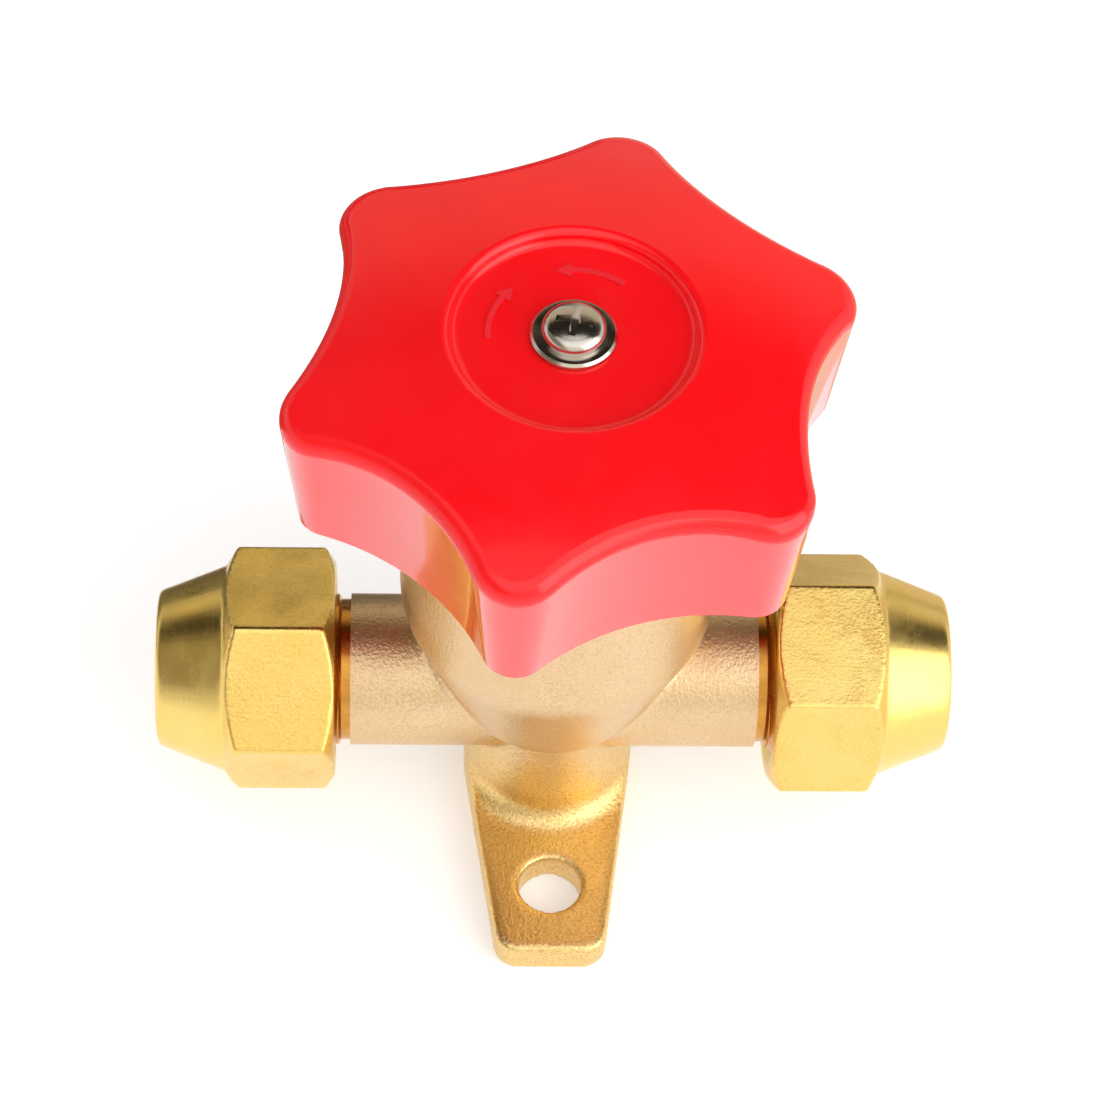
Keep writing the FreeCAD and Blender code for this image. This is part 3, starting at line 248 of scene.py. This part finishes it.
def profile_wire(name, points):
    """A wire through the points, closed on itself, drawn by extruding one vertex."""
    bpy.ops.object.select_all(action="DESELECT")
    bpy.ops.mesh.primitive_plane_add(size=MM, location=points[0], enter_editmode=True)
    wire = bpy.context.active_object
    wire.name = wire.data.name = name
    bpy.ops.mesh.merge(type="CENTER")
    for before, after in zip(points, points[1:]):
        step = Vector(after) - Vector(before)
        bpy.ops.mesh.extrude_region_move(TRANSFORM_OT_translate={"value": step})
    bpy.ops.mesh.select_all(action="SELECT")
    bpy.ops.object.mode_set(mode="OBJECT")
    ends = (0, len(points) - 1)
    for vertex in wire.data.vertices:
        vertex.select = vertex.index in ends
    bpy.ops.object.mode_set(mode="EDIT")
    bpy.ops.mesh.edge_face_add()
    bpy.ops.mesh.select_all(action="SELECT")
    bpy.ops.mesh.delete(type="ONLY_FACE")
    bpy.ops.mesh.select_all(action="SELECT")
    return wire


def turned(name, profile, axis="Z"):
    """A ring spun about the spindle or the port from pairs of radius and place along it, in millimetres."""
    if axis == "Z":
        points = [(reach * MM, 0.0, along * MM) for reach, along in profile]
        about, middle = (0, 0, 1), (0, 0, 0)
    else:
        points = [(along * MM, 0.0, reach * MM + PORT_LEVEL) for reach, along in profile]
        about, middle = (1, 0, 0), (0, 0, PORT_LEVEL)
    piece = profile_wire(name, points)
    bpy.ops.mesh.spin(steps=96, angle=FULL_TURN, center=middle, axis=about)
    bpy.ops.object.mode_set(mode="OBJECT")
    close_up(piece)
    return piece


def finished(piece, body, material, slot, *nodes):
    """The piece takes its material, rides its body and stands for its CAD nodes."""
    piece.data.materials.clear()
    piece.data.materials.append(material)
    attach(piece, body)
    if nodes:
        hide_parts(*nodes)


def repaint(nodes, material):
    """CAD nodes that keep their own form take the material."""
    for node in nodes:
        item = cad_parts[node]
        item.data.materials.clear()
        item.data.materials.append(material)
        item.data.shade_smooth()


# Materials

def put(tree, kind, inputs=None, **settings):
    """A node with its settings, and its sockets linked or set."""
    node = tree.nodes.new(kind)
    for key, value in settings.items():
        setattr(node, key, value)
    for key, value in (inputs or {}).items():
        if isinstance(value, bpy.types.NodeSocket):
            tree.links.new(value, node.inputs[key])
        else:
            node.inputs[key].default_value = value
    return node


def noise(tree, vector, scale, detail=2.0, rough=0.5, distort=0.0):
    made = put(tree, "ShaderNodeTexNoise", {
        "Vector": vector, "Scale": scale, "Detail": detail, "Roughness": rough, "Distortion": distort})
    return made.outputs[0]


def band(tree, value, low, high, start=0.0, end=1.0):
    """The value stretched from low..high to start..end and held there."""
    made = put(tree, "ShaderNodeMapRange", {
        "Value": value, "From Min": low, "From Max": high, "To Min": start, "To Max": end})
    return made.outputs[0]


def maths(tree, first, second, operation="ADD"):
    return put(tree, "ShaderNodeMath", {0: first, 1: second}, operation=operation).outputs[0]


def height_of(tree, place):
    return put(tree, "ShaderNodeSeparateXYZ", {0: place}).outputs["Z"]


def blend_colour(tree, share, first, second):
    made = put(tree, "ShaderNodeMix", {0: share, 6: first, 7: second}, data_type="RGBA")
    return made.outputs[2]


def group(name, inputs, outputs):
    """An empty node group with its named sockets; returns it with its ends."""
    tree = bpy.data.node_groups.new(name, "ShaderNodeTree")
    for label, kind, default in inputs:
        socket = tree.interface.new_socket(name=label, in_out="INPUT", socket_type=kind)
        if default is not None:
            socket.default_value = default
    for label in outputs:
        tree.interface.new_socket(name=label, in_out="OUTPUT", socket_type="NodeSocketFloat")
    return tree, tree.nodes.new("NodeGroupInput"), tree.nodes.new("NodeGroupOutput")


def blasted_grain():
    """Fine pits and grains of blasted metal, with broad patches of tone."""
    name = "Blasted grain"
    if name in bpy.data.node_groups:
        return bpy.data.node_groups[name]
    tree, entry, end = group(name, [
        ("Vector", "NodeSocketVector", None), ("Scale", "NodeSocketFloat", 2600.0)],
        ["Height", "Tone", "Speck"])
    vector, scale = entry.outputs["Vector"], entry.outputs["Scale"]
    fine = noise(tree, vector, scale, 2.0, 0.6)
    coarse = noise(tree, vector, maths(tree, scale, 0.20, "MULTIPLY"), 2.0, 0.5)
    pits = put(tree, "ShaderNodeTexVoronoi", {
        "Vector": vector, "Scale": maths(tree, scale, 0.70, "MULTIPLY")}, feature="F1").outputs["Distance"]
    height = maths(tree, fine, maths(tree, coarse, 0.20, "MULTIPLY"))
    height = maths(tree, height, maths(tree, pits, 0.50, "MULTIPLY"))
    tone = noise(tree, vector, 110.0, 4.0, 0.6)
    tree.links.new(height, end.inputs["Height"])
    tree.links.new(band(tree, tone, 0.35, 0.65), end.inputs["Tone"])
    tree.links.new(band(tree, fine, 0.38, 0.56), end.inputs["Speck"])
    return tree


def turning_marks():
    """Fine rings left by a lathe about the vector's Z axis."""
    name = "Turning marks"
    if name in bpy.data.node_groups:
        return bpy.data.node_groups[name]
    tree, entry, end = group(name, [
        ("Vector", "NodeSocketVector", None), ("Scale", "NodeSocketFloat", 5000.0)], ["Height", "Tone"])
    parts = put(tree, "ShaderNodeSeparateXYZ", {0: entry.outputs["Vector"]})
    flat = put(tree, "ShaderNodeCombineXYZ", {0: parts.outputs[0], 1: parts.outputs[1]})
    reach = put(tree, "ShaderNodeVectorMath", {0: flat.outputs[0]}, operation="LENGTH").outputs["Value"]
    rings = put(tree, "ShaderNodeCombineXYZ", {0: reach, 2: parts.outputs[2]}).outputs[0]
    fine = noise(tree, rings, entry.outputs["Scale"], 2.0, 0.5)
    broad = noise(tree, rings, maths(tree, entry.outputs["Scale"], 0.12, "MULTIPLY"), 2.0, 0.5)
    tree.links.new(maths(tree, fine, maths(tree, broad, 0.6, "MULTIPLY")), end.inputs["Height"])
    tree.links.new(band(tree, broad, 0.38, 0.62), end.inputs["Tone"])
    return tree


def handling_marks():
    """Soft smudges and dull patches from handling."""
    name = "Handling marks"
    if name in bpy.data.node_groups:
        return bpy.data.node_groups[name]
    tree, entry, end = group(name, [
        ("Vector", "NodeSocketVector", None), ("Scale", "NodeSocketFloat", 90.0)], ["Mask", "Scuff"])
    vector = entry.outputs["Vector"]
    smudge = noise(tree, vector, entry.outputs["Scale"], 5.0, 0.62, 0.4)
    scuff = noise(tree, vector, maths(tree, entry.outputs["Scale"], 9.0, "MULTIPLY"), 6.0, 0.7, 1.2)
    tree.links.new(band(tree, smudge, 0.42, 0.66), end.inputs["Mask"])
    tree.links.new(band(tree, scuff, 0.60, 0.72), end.inputs["Scuff"])
    return tree


def effect(tree, shared, place, **values):
    """A shared effect with its own values, laid on the place; returns what it puts out."""
    return put(tree, "ShaderNodeGroup", {"Vector": place, **values}, node_tree=shared).outputs


def new_material(name):
    """A material with its empty tree and the object's own coordinates."""
    material = bpy.data.materials.new(name)
    material.use_nodes = True
    tree = material.node_tree
    tree.nodes.clear()
    place = put(tree, "ShaderNodeTexCoord").outputs["Object"]
    return material, tree, place


def close_material(tree, inputs, **constants):
    """The material's own shader with its links, and its plain values set on their sockets."""
    shader = put(tree, "ShaderNodeBsdfPrincipled", inputs)
    for key, value in constants.items():
        shader.inputs[key.replace("_", " ")].default_value = value
    end = put(tree, "ShaderNodeOutputMaterial")
    tree.links.new(shader.outputs[0], end.inputs[0])


def bump(tree, height, depth):
    return put(tree, "ShaderNodeBump", {"Height": height, "Distance": depth, "Strength": 1.0}).outputs[0]


def rgba(values, share=1.0):
    return (*(share * channel for channel in values), 1.0)


def forged_brass():
    """Blasted casting, rosy on the bell and the necks, with a golden foot that is painted reflection."""
    material, tree, place = new_material("forged_brass")
    grain = effect(tree, blasted_grain(), place, Scale=3300.0)
    marks = effect(tree, handling_marks(), place)
    # Below the column the colour turns golden, which is painted reflection on the foot; the specks weigh more
    # there too
    foot = band(tree, height_of(tree, place), FOOT_TOP, COLUMN_TOP, 1.0, 0.0)
    skin = blend_colour(tree, foot, rgba(colours().forged), rgba(colours().foot_painted_reflection))
    patches = band(tree, grain["Tone"], 0.0, 1.0, 0.22, 0.0)
    specks = maths(tree, band(tree, grain["Speck"], 0.0, 1.0, 1.0, 0.0),
                   band(tree, foot, 0.0, 1.0, 0.38, 0.55), "MULTIPLY")
    close_material(tree, {
        "Base Color": blend_colour(
            tree, maths(tree, patches, specks, "MAXIMUM"), skin, rgba(colours().forged_deep)),
        "Roughness": band(tree, marks["Mask"], 0.0, 1.0, 0.32, 0.44),
        "Normal": bump(tree, grain["Height"], 0.06 * MM)}, Metallic=1.0)
    return material


def nut_brass():
    """Drawn and pitted flats on the hexagon, and turned rings on the cone behind it."""
    material, tree, place = new_material("nut_brass")
    centred = put(tree, "ShaderNodeMapping", {
        "Vector": place, "Location": (0.0, 0.0, -PORT_LEVEL)}).outputs[0]
    about_port = put(tree, "ShaderNodeMapping", {
        "Vector": centred, "Rotation": (0.0, math.radians(90), 0.0)}).outputs[0]
    along_port = put(tree, "ShaderNodeMapping", {"Vector": centred, "Scale": (0.05, 1.0, 1.0)}).outputs[0]
    grain = effect(tree, blasted_grain(), place, Scale=3600.0)
    rings = effect(tree, turning_marks(), about_port, Scale=4200.0)
    marks = effect(tree, handling_marks(), place, Scale=150.0)
    drawn = noise(tree, along_port, 5200.0, 2.0, 0.6)
    reach = maths(tree, put(tree, "ShaderNodeSeparateXYZ", {0: centred}).outputs["X"], 0.0, "ABSOLUTE")
    flats = band(tree, reach, HEXAGON_END, CONE_START, 1.0, 0.0)
    cone = band(tree, reach, HEXAGON_END, CONE_START, 0.0, 0.22)
    patch = band(tree, marks["Mask"], 0.0, 1.0, 0.25, 0.80)
    coarse = maths(tree, maths(tree, grain["Height"], patch, "MULTIPLY"), flats, "MULTIPLY")
    lines = maths(tree, maths(tree, drawn, 0.16, "MULTIPLY"), flats, "MULTIPLY")
    height = maths(tree, maths(tree, coarse, lines), maths(tree, rings["Height"], cone, "MULTIPLY"))
    tint = blend_colour(tree, band(tree, grain["Tone"], 0.0, 1.0, 0.0, 0.35),
                        rgba(colours().nut), rgba(colours().nut_pale))
    pitted = maths(tree, maths(tree, patch, flats, "MULTIPLY"),
                   band(tree, grain["Speck"], 0.0, 1.0, 0.9, 0.0), "MULTIPLY")
    close_material(tree, {
        "Base Color": blend_colour(tree, pitted, tint, rgba(colours().nut_deep)),
        "Roughness": band(tree, patch, 0.25, 0.80, 0.24, 0.36),
        "Normal": bump(tree, height, 0.05 * MM)}, Metallic=1.0)
    return material


def turned_metal(name, base, shade, ring_scale, mark_scale, dull, depth):
    """Metal off a lathe: rings of two shades, and a roughness between the two values of dull."""
    material, tree, place = new_material(name)
    rings = effect(tree, turning_marks(), place, Scale=ring_scale)
    marks = effect(tree, handling_marks(), place, Scale=mark_scale)
    close_material(tree, {
        "Base Color": blend_colour(tree, rings["Tone"], rgba(base, shade), rgba(base)),
        "Roughness": band(tree, marks["Mask"], 0.0, 1.0, *dull),
        "Normal": bump(tree, rings["Height"], depth)}, Metallic=1.0)
    return material


def turned_brass(name, base):
    return turned_metal(name, base, 0.86, 4600.0, 120.0, (0.22, 0.36), 0.010 * MM)


def plain_steel(name, dull):
    return turned_metal(name, colours().steel, 0.8, 3600.0, 260.0, dull, 0.008 * MM)


def plated_steel():
    """Nickel plate that is scuffed in small places."""
    material, tree, place = new_material("plated_steel")
    rings = effect(tree, turning_marks(), place, Scale=5200.0)
    marks = effect(tree, handling_marks(), place, Scale=420.0)
    close_material(tree, {
        "Base Color": blend_colour(
            tree, marks["Scuff"], rgba(colours().plating), rgba(colours().plating, 0.72)),
        "Roughness": band(tree, marks["Mask"], 0.0, 1.0, 0.14, 0.28),
        "Normal": bump(tree, rings["Height"], 0.006 * MM)}, Metallic=1.0)
    return material


def red_plastic():
    """Glossy moulding whose crown and dish have a thinner gloss than its sides."""
    material, tree, place = new_material("red_plastic")
    marks = effect(tree, handling_marks(), place, Scale=55.0)
    flow = noise(tree, place, 38.0, 3.0, 0.55, 0.6)
    skin = noise(tree, place, 420.0, 2.0, 0.5)
    reach = put(tree, "ShaderNodeVectorMath", {0: place, 1: CROWN_CENTRE}, operation="DISTANCE")
    crown = maths(tree, band(tree, reach.outputs["Value"], CROWN_EDGE, CROWN_SKIN),
                  band(tree, height_of(tree, place), DISH_EDGE, DISH_SKIN), "MAXIMUM")
    close_material(tree, {
        "Base Color": blend_colour(
            tree, band(tree, flow, 0.40, 0.62), rgba(colours().wheel_deep), rgba(colours().wheel)),
        "Roughness": band(tree, marks["Mask"], 0.0, 1.0, 0.16, 0.26),
        "Coat Weight": band(tree, crown, 0.0, 1.0, 1.0, 0.15),
        "Normal": bump(tree, skin, 0.02 * MM)}, IOR=1.45, Coat_Roughness=0.06, Coat_IOR=1.5)
    return material


def soft_material(name, light, dark, dull):
    """Seat plastic or seal rubber: dull, with a fine skin."""
    material, tree, place = new_material(name)
    grain = effect(tree, blasted_grain(), place, Scale=1800.0)
    close_material(tree, {
        "Base Color": blend_colour(tree, grain["Tone"], rgba(dark), rgba(light)),
        "Roughness": band(tree, grain["Tone"], 0.0, 1.0, *dull),
        "Normal": bump(tree, grain["Height"], 0.01 * MM)})
    return material


# Pieces

class VALVE_OT_stage(bpy.types.Operator):
    """Studio floor, soft lamps, pale surroundings and the photograph's camera"""
    bl_idname = "valve.stage"
    bl_label = "Stage"

    def execute(self, context):
        bpy.ops.object.select_all(action="DESELECT")
        bpy.ops.mesh.primitive_plane_add(size=6.0, location=(0.0, 0.0, -0.05 * MM))
        floor = context.active_object
        floor.name = "studio_floor"
        floor.data.materials.append(self.floor_material())
        for name, place, span, power in LAMPS:
            bpy.ops.object.light_add(type="AREA", location=place)
            lamp = context.active_object
            lamp.name = name
            lamp.data.shape = "SQUARE"
            lamp.data.size = span
            lamp.data.energy = power
            lamp.visible_camera = False
            lamp.rotation_euler = (LAMPS_AIM - lamp.location).to_track_quat("-Z", "Y").to_euler()
        for card in CARDS:
            self.card(*card)
        bpy.ops.object.camera_add(location=sizes().camera_place, rotation=sizes().camera_turn)
        camera = context.active_object
        camera.name = "photo_camera"
        camera.data.sensor_width = 36.0
        camera.data.lens = sizes().camera_lens
        camera.data.clip_start = 0.01
        context.scene.camera = camera
        context.scene.view_settings.view_transform = "Standard"
        self.surroundings(context)
        return {"FINISHED"}

    def seen(self, tree):
        """1 for what the camera sees by itself, in a reflection or through glass."""
        path = put(tree, "ShaderNodeLightPath")
        direct = maths(tree, path.outputs["Is Camera Ray"], path.outputs["Is Glossy Ray"], "MAXIMUM")
        return maths(tree, direct, path.outputs["Is Transmission Ray"], "MAXIMUM")

    def card(self, name, place, turn, span, axis, reach, levels):
        """A card that shows only in reflections; its level runs from one value to the other over its reach."""
        bpy.ops.object.select_all(action="DESELECT")
        bpy.ops.mesh.primitive_plane_add(
            size=1.0, location=place, rotation=[math.radians(angle) for angle in turn])
        piece = bpy.context.active_object
        piece.name = name
        piece.scale = (span[0], span[1], 1.0)
        bpy.ops.object.transform_apply(location=True, rotation=True, scale=True)
        material, tree, spot = new_material(name)
        along = put(tree, "ShaderNodeSeparateXYZ", {0: spot}).outputs[axis]
        level = band(tree, along, *reach, *levels)
        clear = put(tree, "ShaderNodeBsdfTransparent")
        glow = put(tree, "ShaderNodeEmission", {"Color": CARD_TINT, "Strength": level})
        glossy = put(tree, "ShaderNodeLightPath").outputs["Is Glossy Ray"]
        both = put(tree, "ShaderNodeMixShader", {0: glossy, 1: clear.outputs[0], 2: glow.outputs[0]})
        end = put(tree, "ShaderNodeOutputMaterial")
        tree.links.new(both.outputs[0], end.inputs[0])
        piece.data.materials.append(material)

    def floor_material(self):
        """Pale and dull; it glows a little where it is seen, and keeps the shadow."""
        material = bpy.data.materials.new("floor")
        material.use_nodes = True
        tree = material.node_tree
        shader = tree.nodes["Principled BSDF"]
        shader.inputs["Base Color"].default_value = rgba(colours().floor)
        shader.inputs["Roughness"].default_value = 0.9
        shader.inputs["Specular IOR Level"].default_value = 0.0
        shader.inputs["Emission Color"].default_value = (1.0, 1.0, 1.0, 1.0)
        tree.links.new(band(tree, self.seen(tree), 0.0, 1.0, 0.0, 0.30), shader.inputs["Emission Strength"])
        return material

    def surroundings(self, context):
        """Even light from all around, a little brighter where it is seen."""
        world = bpy.data.worlds.new("studio")
        world.use_nodes = True
        tree = world.node_tree
        back = tree.nodes["Background"]
        back.inputs["Color"].default_value = (1.0, 1.0, 1.0, 1.0)
        tree.links.new(band(tree, self.seen(tree), 0.0, 1.0, 0.72, 0.88), back.inputs["Strength"])
        context.scene.world = world


class VALVE_OT_forging(bpy.types.Operator):
    """Forged body with its softened edges, its foot, bell and necks"""
    bl_idname = "valve.forging"
    bl_label = "Forged body"

    def execute(self, context):
        body = copied("valve_body", "forged_body")
        end, radius = sizes().neck_end / MM, sizes().neck_radius / MM
        ring = [(radius - 1.5, end - 2.0), (radius, end - 2.0), (radius, end + 2.5), (radius - 1.5, end + 2.5)]
        for side in (-1, 1):
            sleeve = turned("neck_sleeve", [(reach, side * along) for reach, along in ring], axis="X")
            select_only(body)
            sleeve.select_set(True)
            bpy.ops.object.join()
        softened(body, sizes().forging_step, sizes().forging_rounds)
        for side in (-1, 1):
            edit(body)
            bpy.ops.mesh.bisect(plane_co=(side * sizes().neck_end, 0.0, 0.0), plane_no=(side, 0.0, 0.0),
                                use_fill=True, clear_outer=True)
            bpy.ops.object.mode_set(mode="OBJECT")
        done(body, 60)
        finished(body, "valve", forged_brass(), "forged_brass", "valve_body")
        return {"FINISHED"}


class VALVE_OT_flare_ends(bpy.types.Operator):
    """Machined ends of the ports: groove, flare thread and flare seat"""
    bl_idname = "valve.flare_ends"
    bl_label = "Flare ends"

    def execute(self, context):
        # The flare ends take brass darkened with painted shade for the groove between each nut and its neck
        material = turned_brass("flare_brass_painted_shade", colours().flare_brass_and_painted_shade)
        floor, root, crest, neck, start, shown = (value / MM for value in (
            sizes().groove_floor, sizes().thread_root, sizes().thread_crest, sizes().neck_end,
            sizes().thread_start, sizes().thread_shown))
        seat = FLARE_TIP - SEAT_LENGTH
        profile = [
            (FLARE_BORE, neck - 0.1), (floor, neck - 0.1), (floor, start), (root, start + 0.3), (root, shown),
            (crest, shown + 1.0), (crest, seat - THREAD_RUN_OUT), (SEAT_FOOT, seat), (SEAT_TIP, FLARE_TIP),
            (FLARE_BORE, FLARE_TIP)]
        for side, label in ((-1, "inlet_flare_end"), (1, "outlet_flare_end")):
            piece = turned(label, [(reach, side * along) for reach, along in profile], axis="X")
            tooth = self.tooth(context, label + "_tooth", side)
            select_only(piece)
            tooth.select_set(True)
            bpy.ops.object.join()
            done(piece, 40)
            finished(piece, "valve", material, "forged_brass")
        return {"FINISHED"}

    def tooth(self, context, label, side):
        """One turn and a half of the thread's tooth, sunk a little into its root and closed at both ends."""
        pitch, crest, root = sizes().thread_pitch, sizes().thread_crest, sizes().thread_root - 0.1 * MM
        start, turns = side * sizes().thread_start, 1.5
        flank, flat = side * 0.38 * pitch, side * 0.12 * pitch
        points = [
            (start, root), (start + flank, crest), (start + flank + flat, crest),
            (start + 2 * flank + flat, root)]
        piece = profile_wire(label, [(along, 0.0, reach + PORT_LEVEL) for along, reach in points])
        bpy.ops.object.mode_set(mode="OBJECT")
        context.scene.cursor.location = (0.0, 0.0, PORT_LEVEL)
        select_only(piece)
        bpy.ops.object.origin_set(type="ORIGIN_CURSOR")
        context.scene.cursor.location = (0.0, 0.0, 0.0)
        modifier(piece, "SCREW", axis="X", screw_offset=side * pitch * turns, steps=144, render_steps=144,
                 iterations=1, angle=FULL_TURN * turns, use_normal_calculate=True)
        edit(piece)
        bpy.ops.mesh.fill_holes(sides=0)
        bpy.ops.object.mode_set(mode="OBJECT")
        close_up(piece)
        return done(piece, 40)


class VALVE_OT_flare_nuts(bpy.types.Operator):
    """Two short flare nuts with broken edges"""
    bl_idname = "valve.flare_nuts"
    bl_label = "Flare nuts"

    def execute(self, context):
        material = nut_brass()
        for side in ("inlet", "outlet"):
            nut = copied("flare_nut_" + side, side + "_nut_piece")
            softened(nut, sizes().nut_step, sizes().nut_rounds)
            done(nut, 60)
            finished(nut, side + "_nut", material, "nut_brass", "flare_nut_" + side)
        return {"FINISHED"}


class VALVE_OT_bonnet(bpy.types.Operator):
    """Bonnet with broken edges"""
    bl_idname = "valve.bonnet"
    bl_label = "Bonnet"

    def execute(self, context):
        bonnet = copied("bonnet", "bonnet_piece")
        softened(bonnet, sizes().bonnet_step, sizes().bonnet_rounds)
        done(bonnet, 60)
        material = turned_brass("turned_brass", colours().turned_metal)
        finished(bonnet, "valve", material, "turned_brass", "bonnet")
        return {"FINISHED"}


class VALVE_OT_handwheel(bpy.types.Operator):
    """Moulded red handwheel"""
    bl_idname = "valve.handwheel"
    bl_label = "Handwheel"

    def execute(self, context):
        repaint(["handwheel"], red_plastic())
        return {"FINISHED"}


class VALVE_OT_turn_arrows(bpy.types.Operator):
    """Two plain raised arrows in the handwheel's dish, one for each way it turns"""
    bl_idname = "valve.turn_arrows"
    bl_label = "Turn arrows"

    def execute(self, context):
        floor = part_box("plain_washer")[0].z
        for label, way, turn in ARROWS:
            arrow = self.arrow(label, floor, way)
            done(arrow, 30)
            arrow.rotation_euler.z = math.radians(turn)
            done(arrow, 30)
            finished(arrow, "wheel_and_spindle", bpy.data.materials["red_plastic"], "red_plastic")
        return {"FINISHED"}

    def arrow(self, label, floor, way):
        """An arc whose head points the way it turns; its tail starts on the X axis."""
        radius, half, height = sizes().arrow_radius, sizes().arrow_width / 2, sizes().arrow_height
        sweep, head, steps = math.radians(38), math.radians(11), 12
        barb, sunk = 3.2 * half, 0.1 * MM
        arc = [sweep * step / steps for step in range(steps + 1)]
        outline = [(radius + half, angle) for angle in arc]
        outline += [(radius + barb, sweep), (radius, sweep + head), (radius - barb, sweep)]
        outline += [(radius - half, angle) for angle in reversed(arc)]
        arrow = profile_wire(label, [
            (reach * math.cos(angle), way * reach * math.sin(angle), floor - sunk)
            for reach, angle in outline])
        bpy.ops.mesh.fill()
        bpy.ops.mesh.extrude_region_move(TRANSFORM_OT_translate={"value": (0.0, 0.0, sunk + height)})
        bpy.ops.object.mode_set(mode="OBJECT")
        close_up(arrow)
        return arrow


class VALVE_OT_wheel_screw(bpy.types.Operator):
    """Plated washer and pan-head screw in the handwheel's dish"""
    bl_idname = "valve.wheel_screw"
    bl_label = "Washer and screw"

    def execute(self, context):
        material = plated_steel()
        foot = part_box("plain_washer")[0].z / MM
        top, hole, rim = foot + WASHER_THICKNESS, WASHER_HOLE, WASHER_RIM
        washer = turned("washer_piece", [
            (hole, foot + 0.08), (hole + 0.08, foot), (rim - 0.08, foot), (rim, foot + 0.12), (rim, top - 0.3),
            (rim - 0.25, top - 0.02), (rim - 0.4, top), (hole + 0.15, top), (hole, top - 0.1)])
        done(washer)
        finished(washer, "wheel_and_spindle", material, "plated_steel", "plain_washer")
        repaint(["handwheel_screw"], material)
        return {"FINISHED"}


class VALVE_OT_inner_parts(bpy.types.Operator):
    """Finishes of the pieces inside the valve"""
    bl_idname = "valve.inner_parts"
    bl_label = "Inner parts"

    def execute(self, context):
        repaint(["slip_ring", "disc_carrier", "thrust_pad", "spindle"], bpy.data.materials["turned_brass"])
        sheet_steel = plain_steel("sheet_steel", (0.30, 0.42))
        for node in ("diaphragm_lower", "diaphragm_middle", "diaphragm_upper"):
            low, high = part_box(node)
            self.flexing(node, sheet_steel, high.z - sizes().diaphragm_sheet, low.z + sizes().diaphragm_sheet)
        low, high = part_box("return_spring")
        self.flexing("return_spring", sheet_steel, low.z + sizes().spring_seat, high.z - sizes().spring_seat)
        repaint(["disc_washer", "disc_screw", "thrust_ball"], plain_steel("bright_steel", (0.14, 0.26)))
        repaint(["seat_disc"], soft_material(
            "seat_plastic", (0.78, 0.76, 0.70), (0.70, 0.68, 0.61), (0.42, 0.55)))
        repaint(["spindle_seal_ring"], soft_material(
            "seal_rubber", (0.030, 0.030, 0.032), (0.018, 0.018, 0.020), (0.50, 0.66)))
        return {"FINISHED"}

    def flexing(self, node, material, still, lifted):
        """A springy piece copied with its material in place of its CAD node; the still and lifted heights are
        not used.
        """
        piece = copied(node, node + "_piece")
        done(piece, 40)
        piece.data.materials.append(material)
        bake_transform(piece)
        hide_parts(node)


STEPS = (
    VALVE_OT_stage, VALVE_OT_forging, VALVE_OT_flare_nuts, VALVE_OT_bonnet, VALVE_OT_flare_ends,
    VALVE_OT_handwheel, VALVE_OT_turn_arrows, VALVE_OT_wheel_screw, VALVE_OT_inner_parts,
)


class VALVE_PT_panel(bpy.types.Panel):
    """Lists the valve's pieces, their sizes and their colours"""
    bl_label = "Service valve"
    bl_idname = "VALVE_PT_panel"
    bl_space_type = "VIEW_3D"
    bl_region_type = "UI"
    bl_category = "Valve"

    def draw(self, context):
        for step in STEPS:
            self.layout.operator(step.bl_idname)
        for owner in (context.scene.valve_sizes, context.scene.valve_colours):
            box = self.layout.box()
            for name in owner.__annotations__:
                box.prop(owner, name)


CLASSES = (ValveSizes, ValveColours, *STEPS, VALVE_PT_panel)


def register():
    for item in CLASSES:
        bpy.utils.register_class(item)
    bpy.types.Scene.valve_sizes = PointerProperty(type=ValveSizes)
    bpy.types.Scene.valve_colours = PointerProperty(type=ValveColours)


def unregister():
    del bpy.types.Scene.valve_colours
    del bpy.types.Scene.valve_sizes
    for item in reversed(CLASSES):
        bpy.utils.unregister_class(item)


def main():
    register()
    bpy.ops.valve.stage()
    bpy.ops.valve.forging()
    bpy.ops.valve.flare_nuts()
    bpy.ops.valve.bonnet()
    bpy.ops.valve.flare_ends()
    bpy.ops.valve.handwheel()
    bpy.ops.valve.turn_arrows()
    bpy.ops.valve.wheel_screw()
    bpy.ops.valve.inner_parts()


if __name__ == "__main__":
    main()
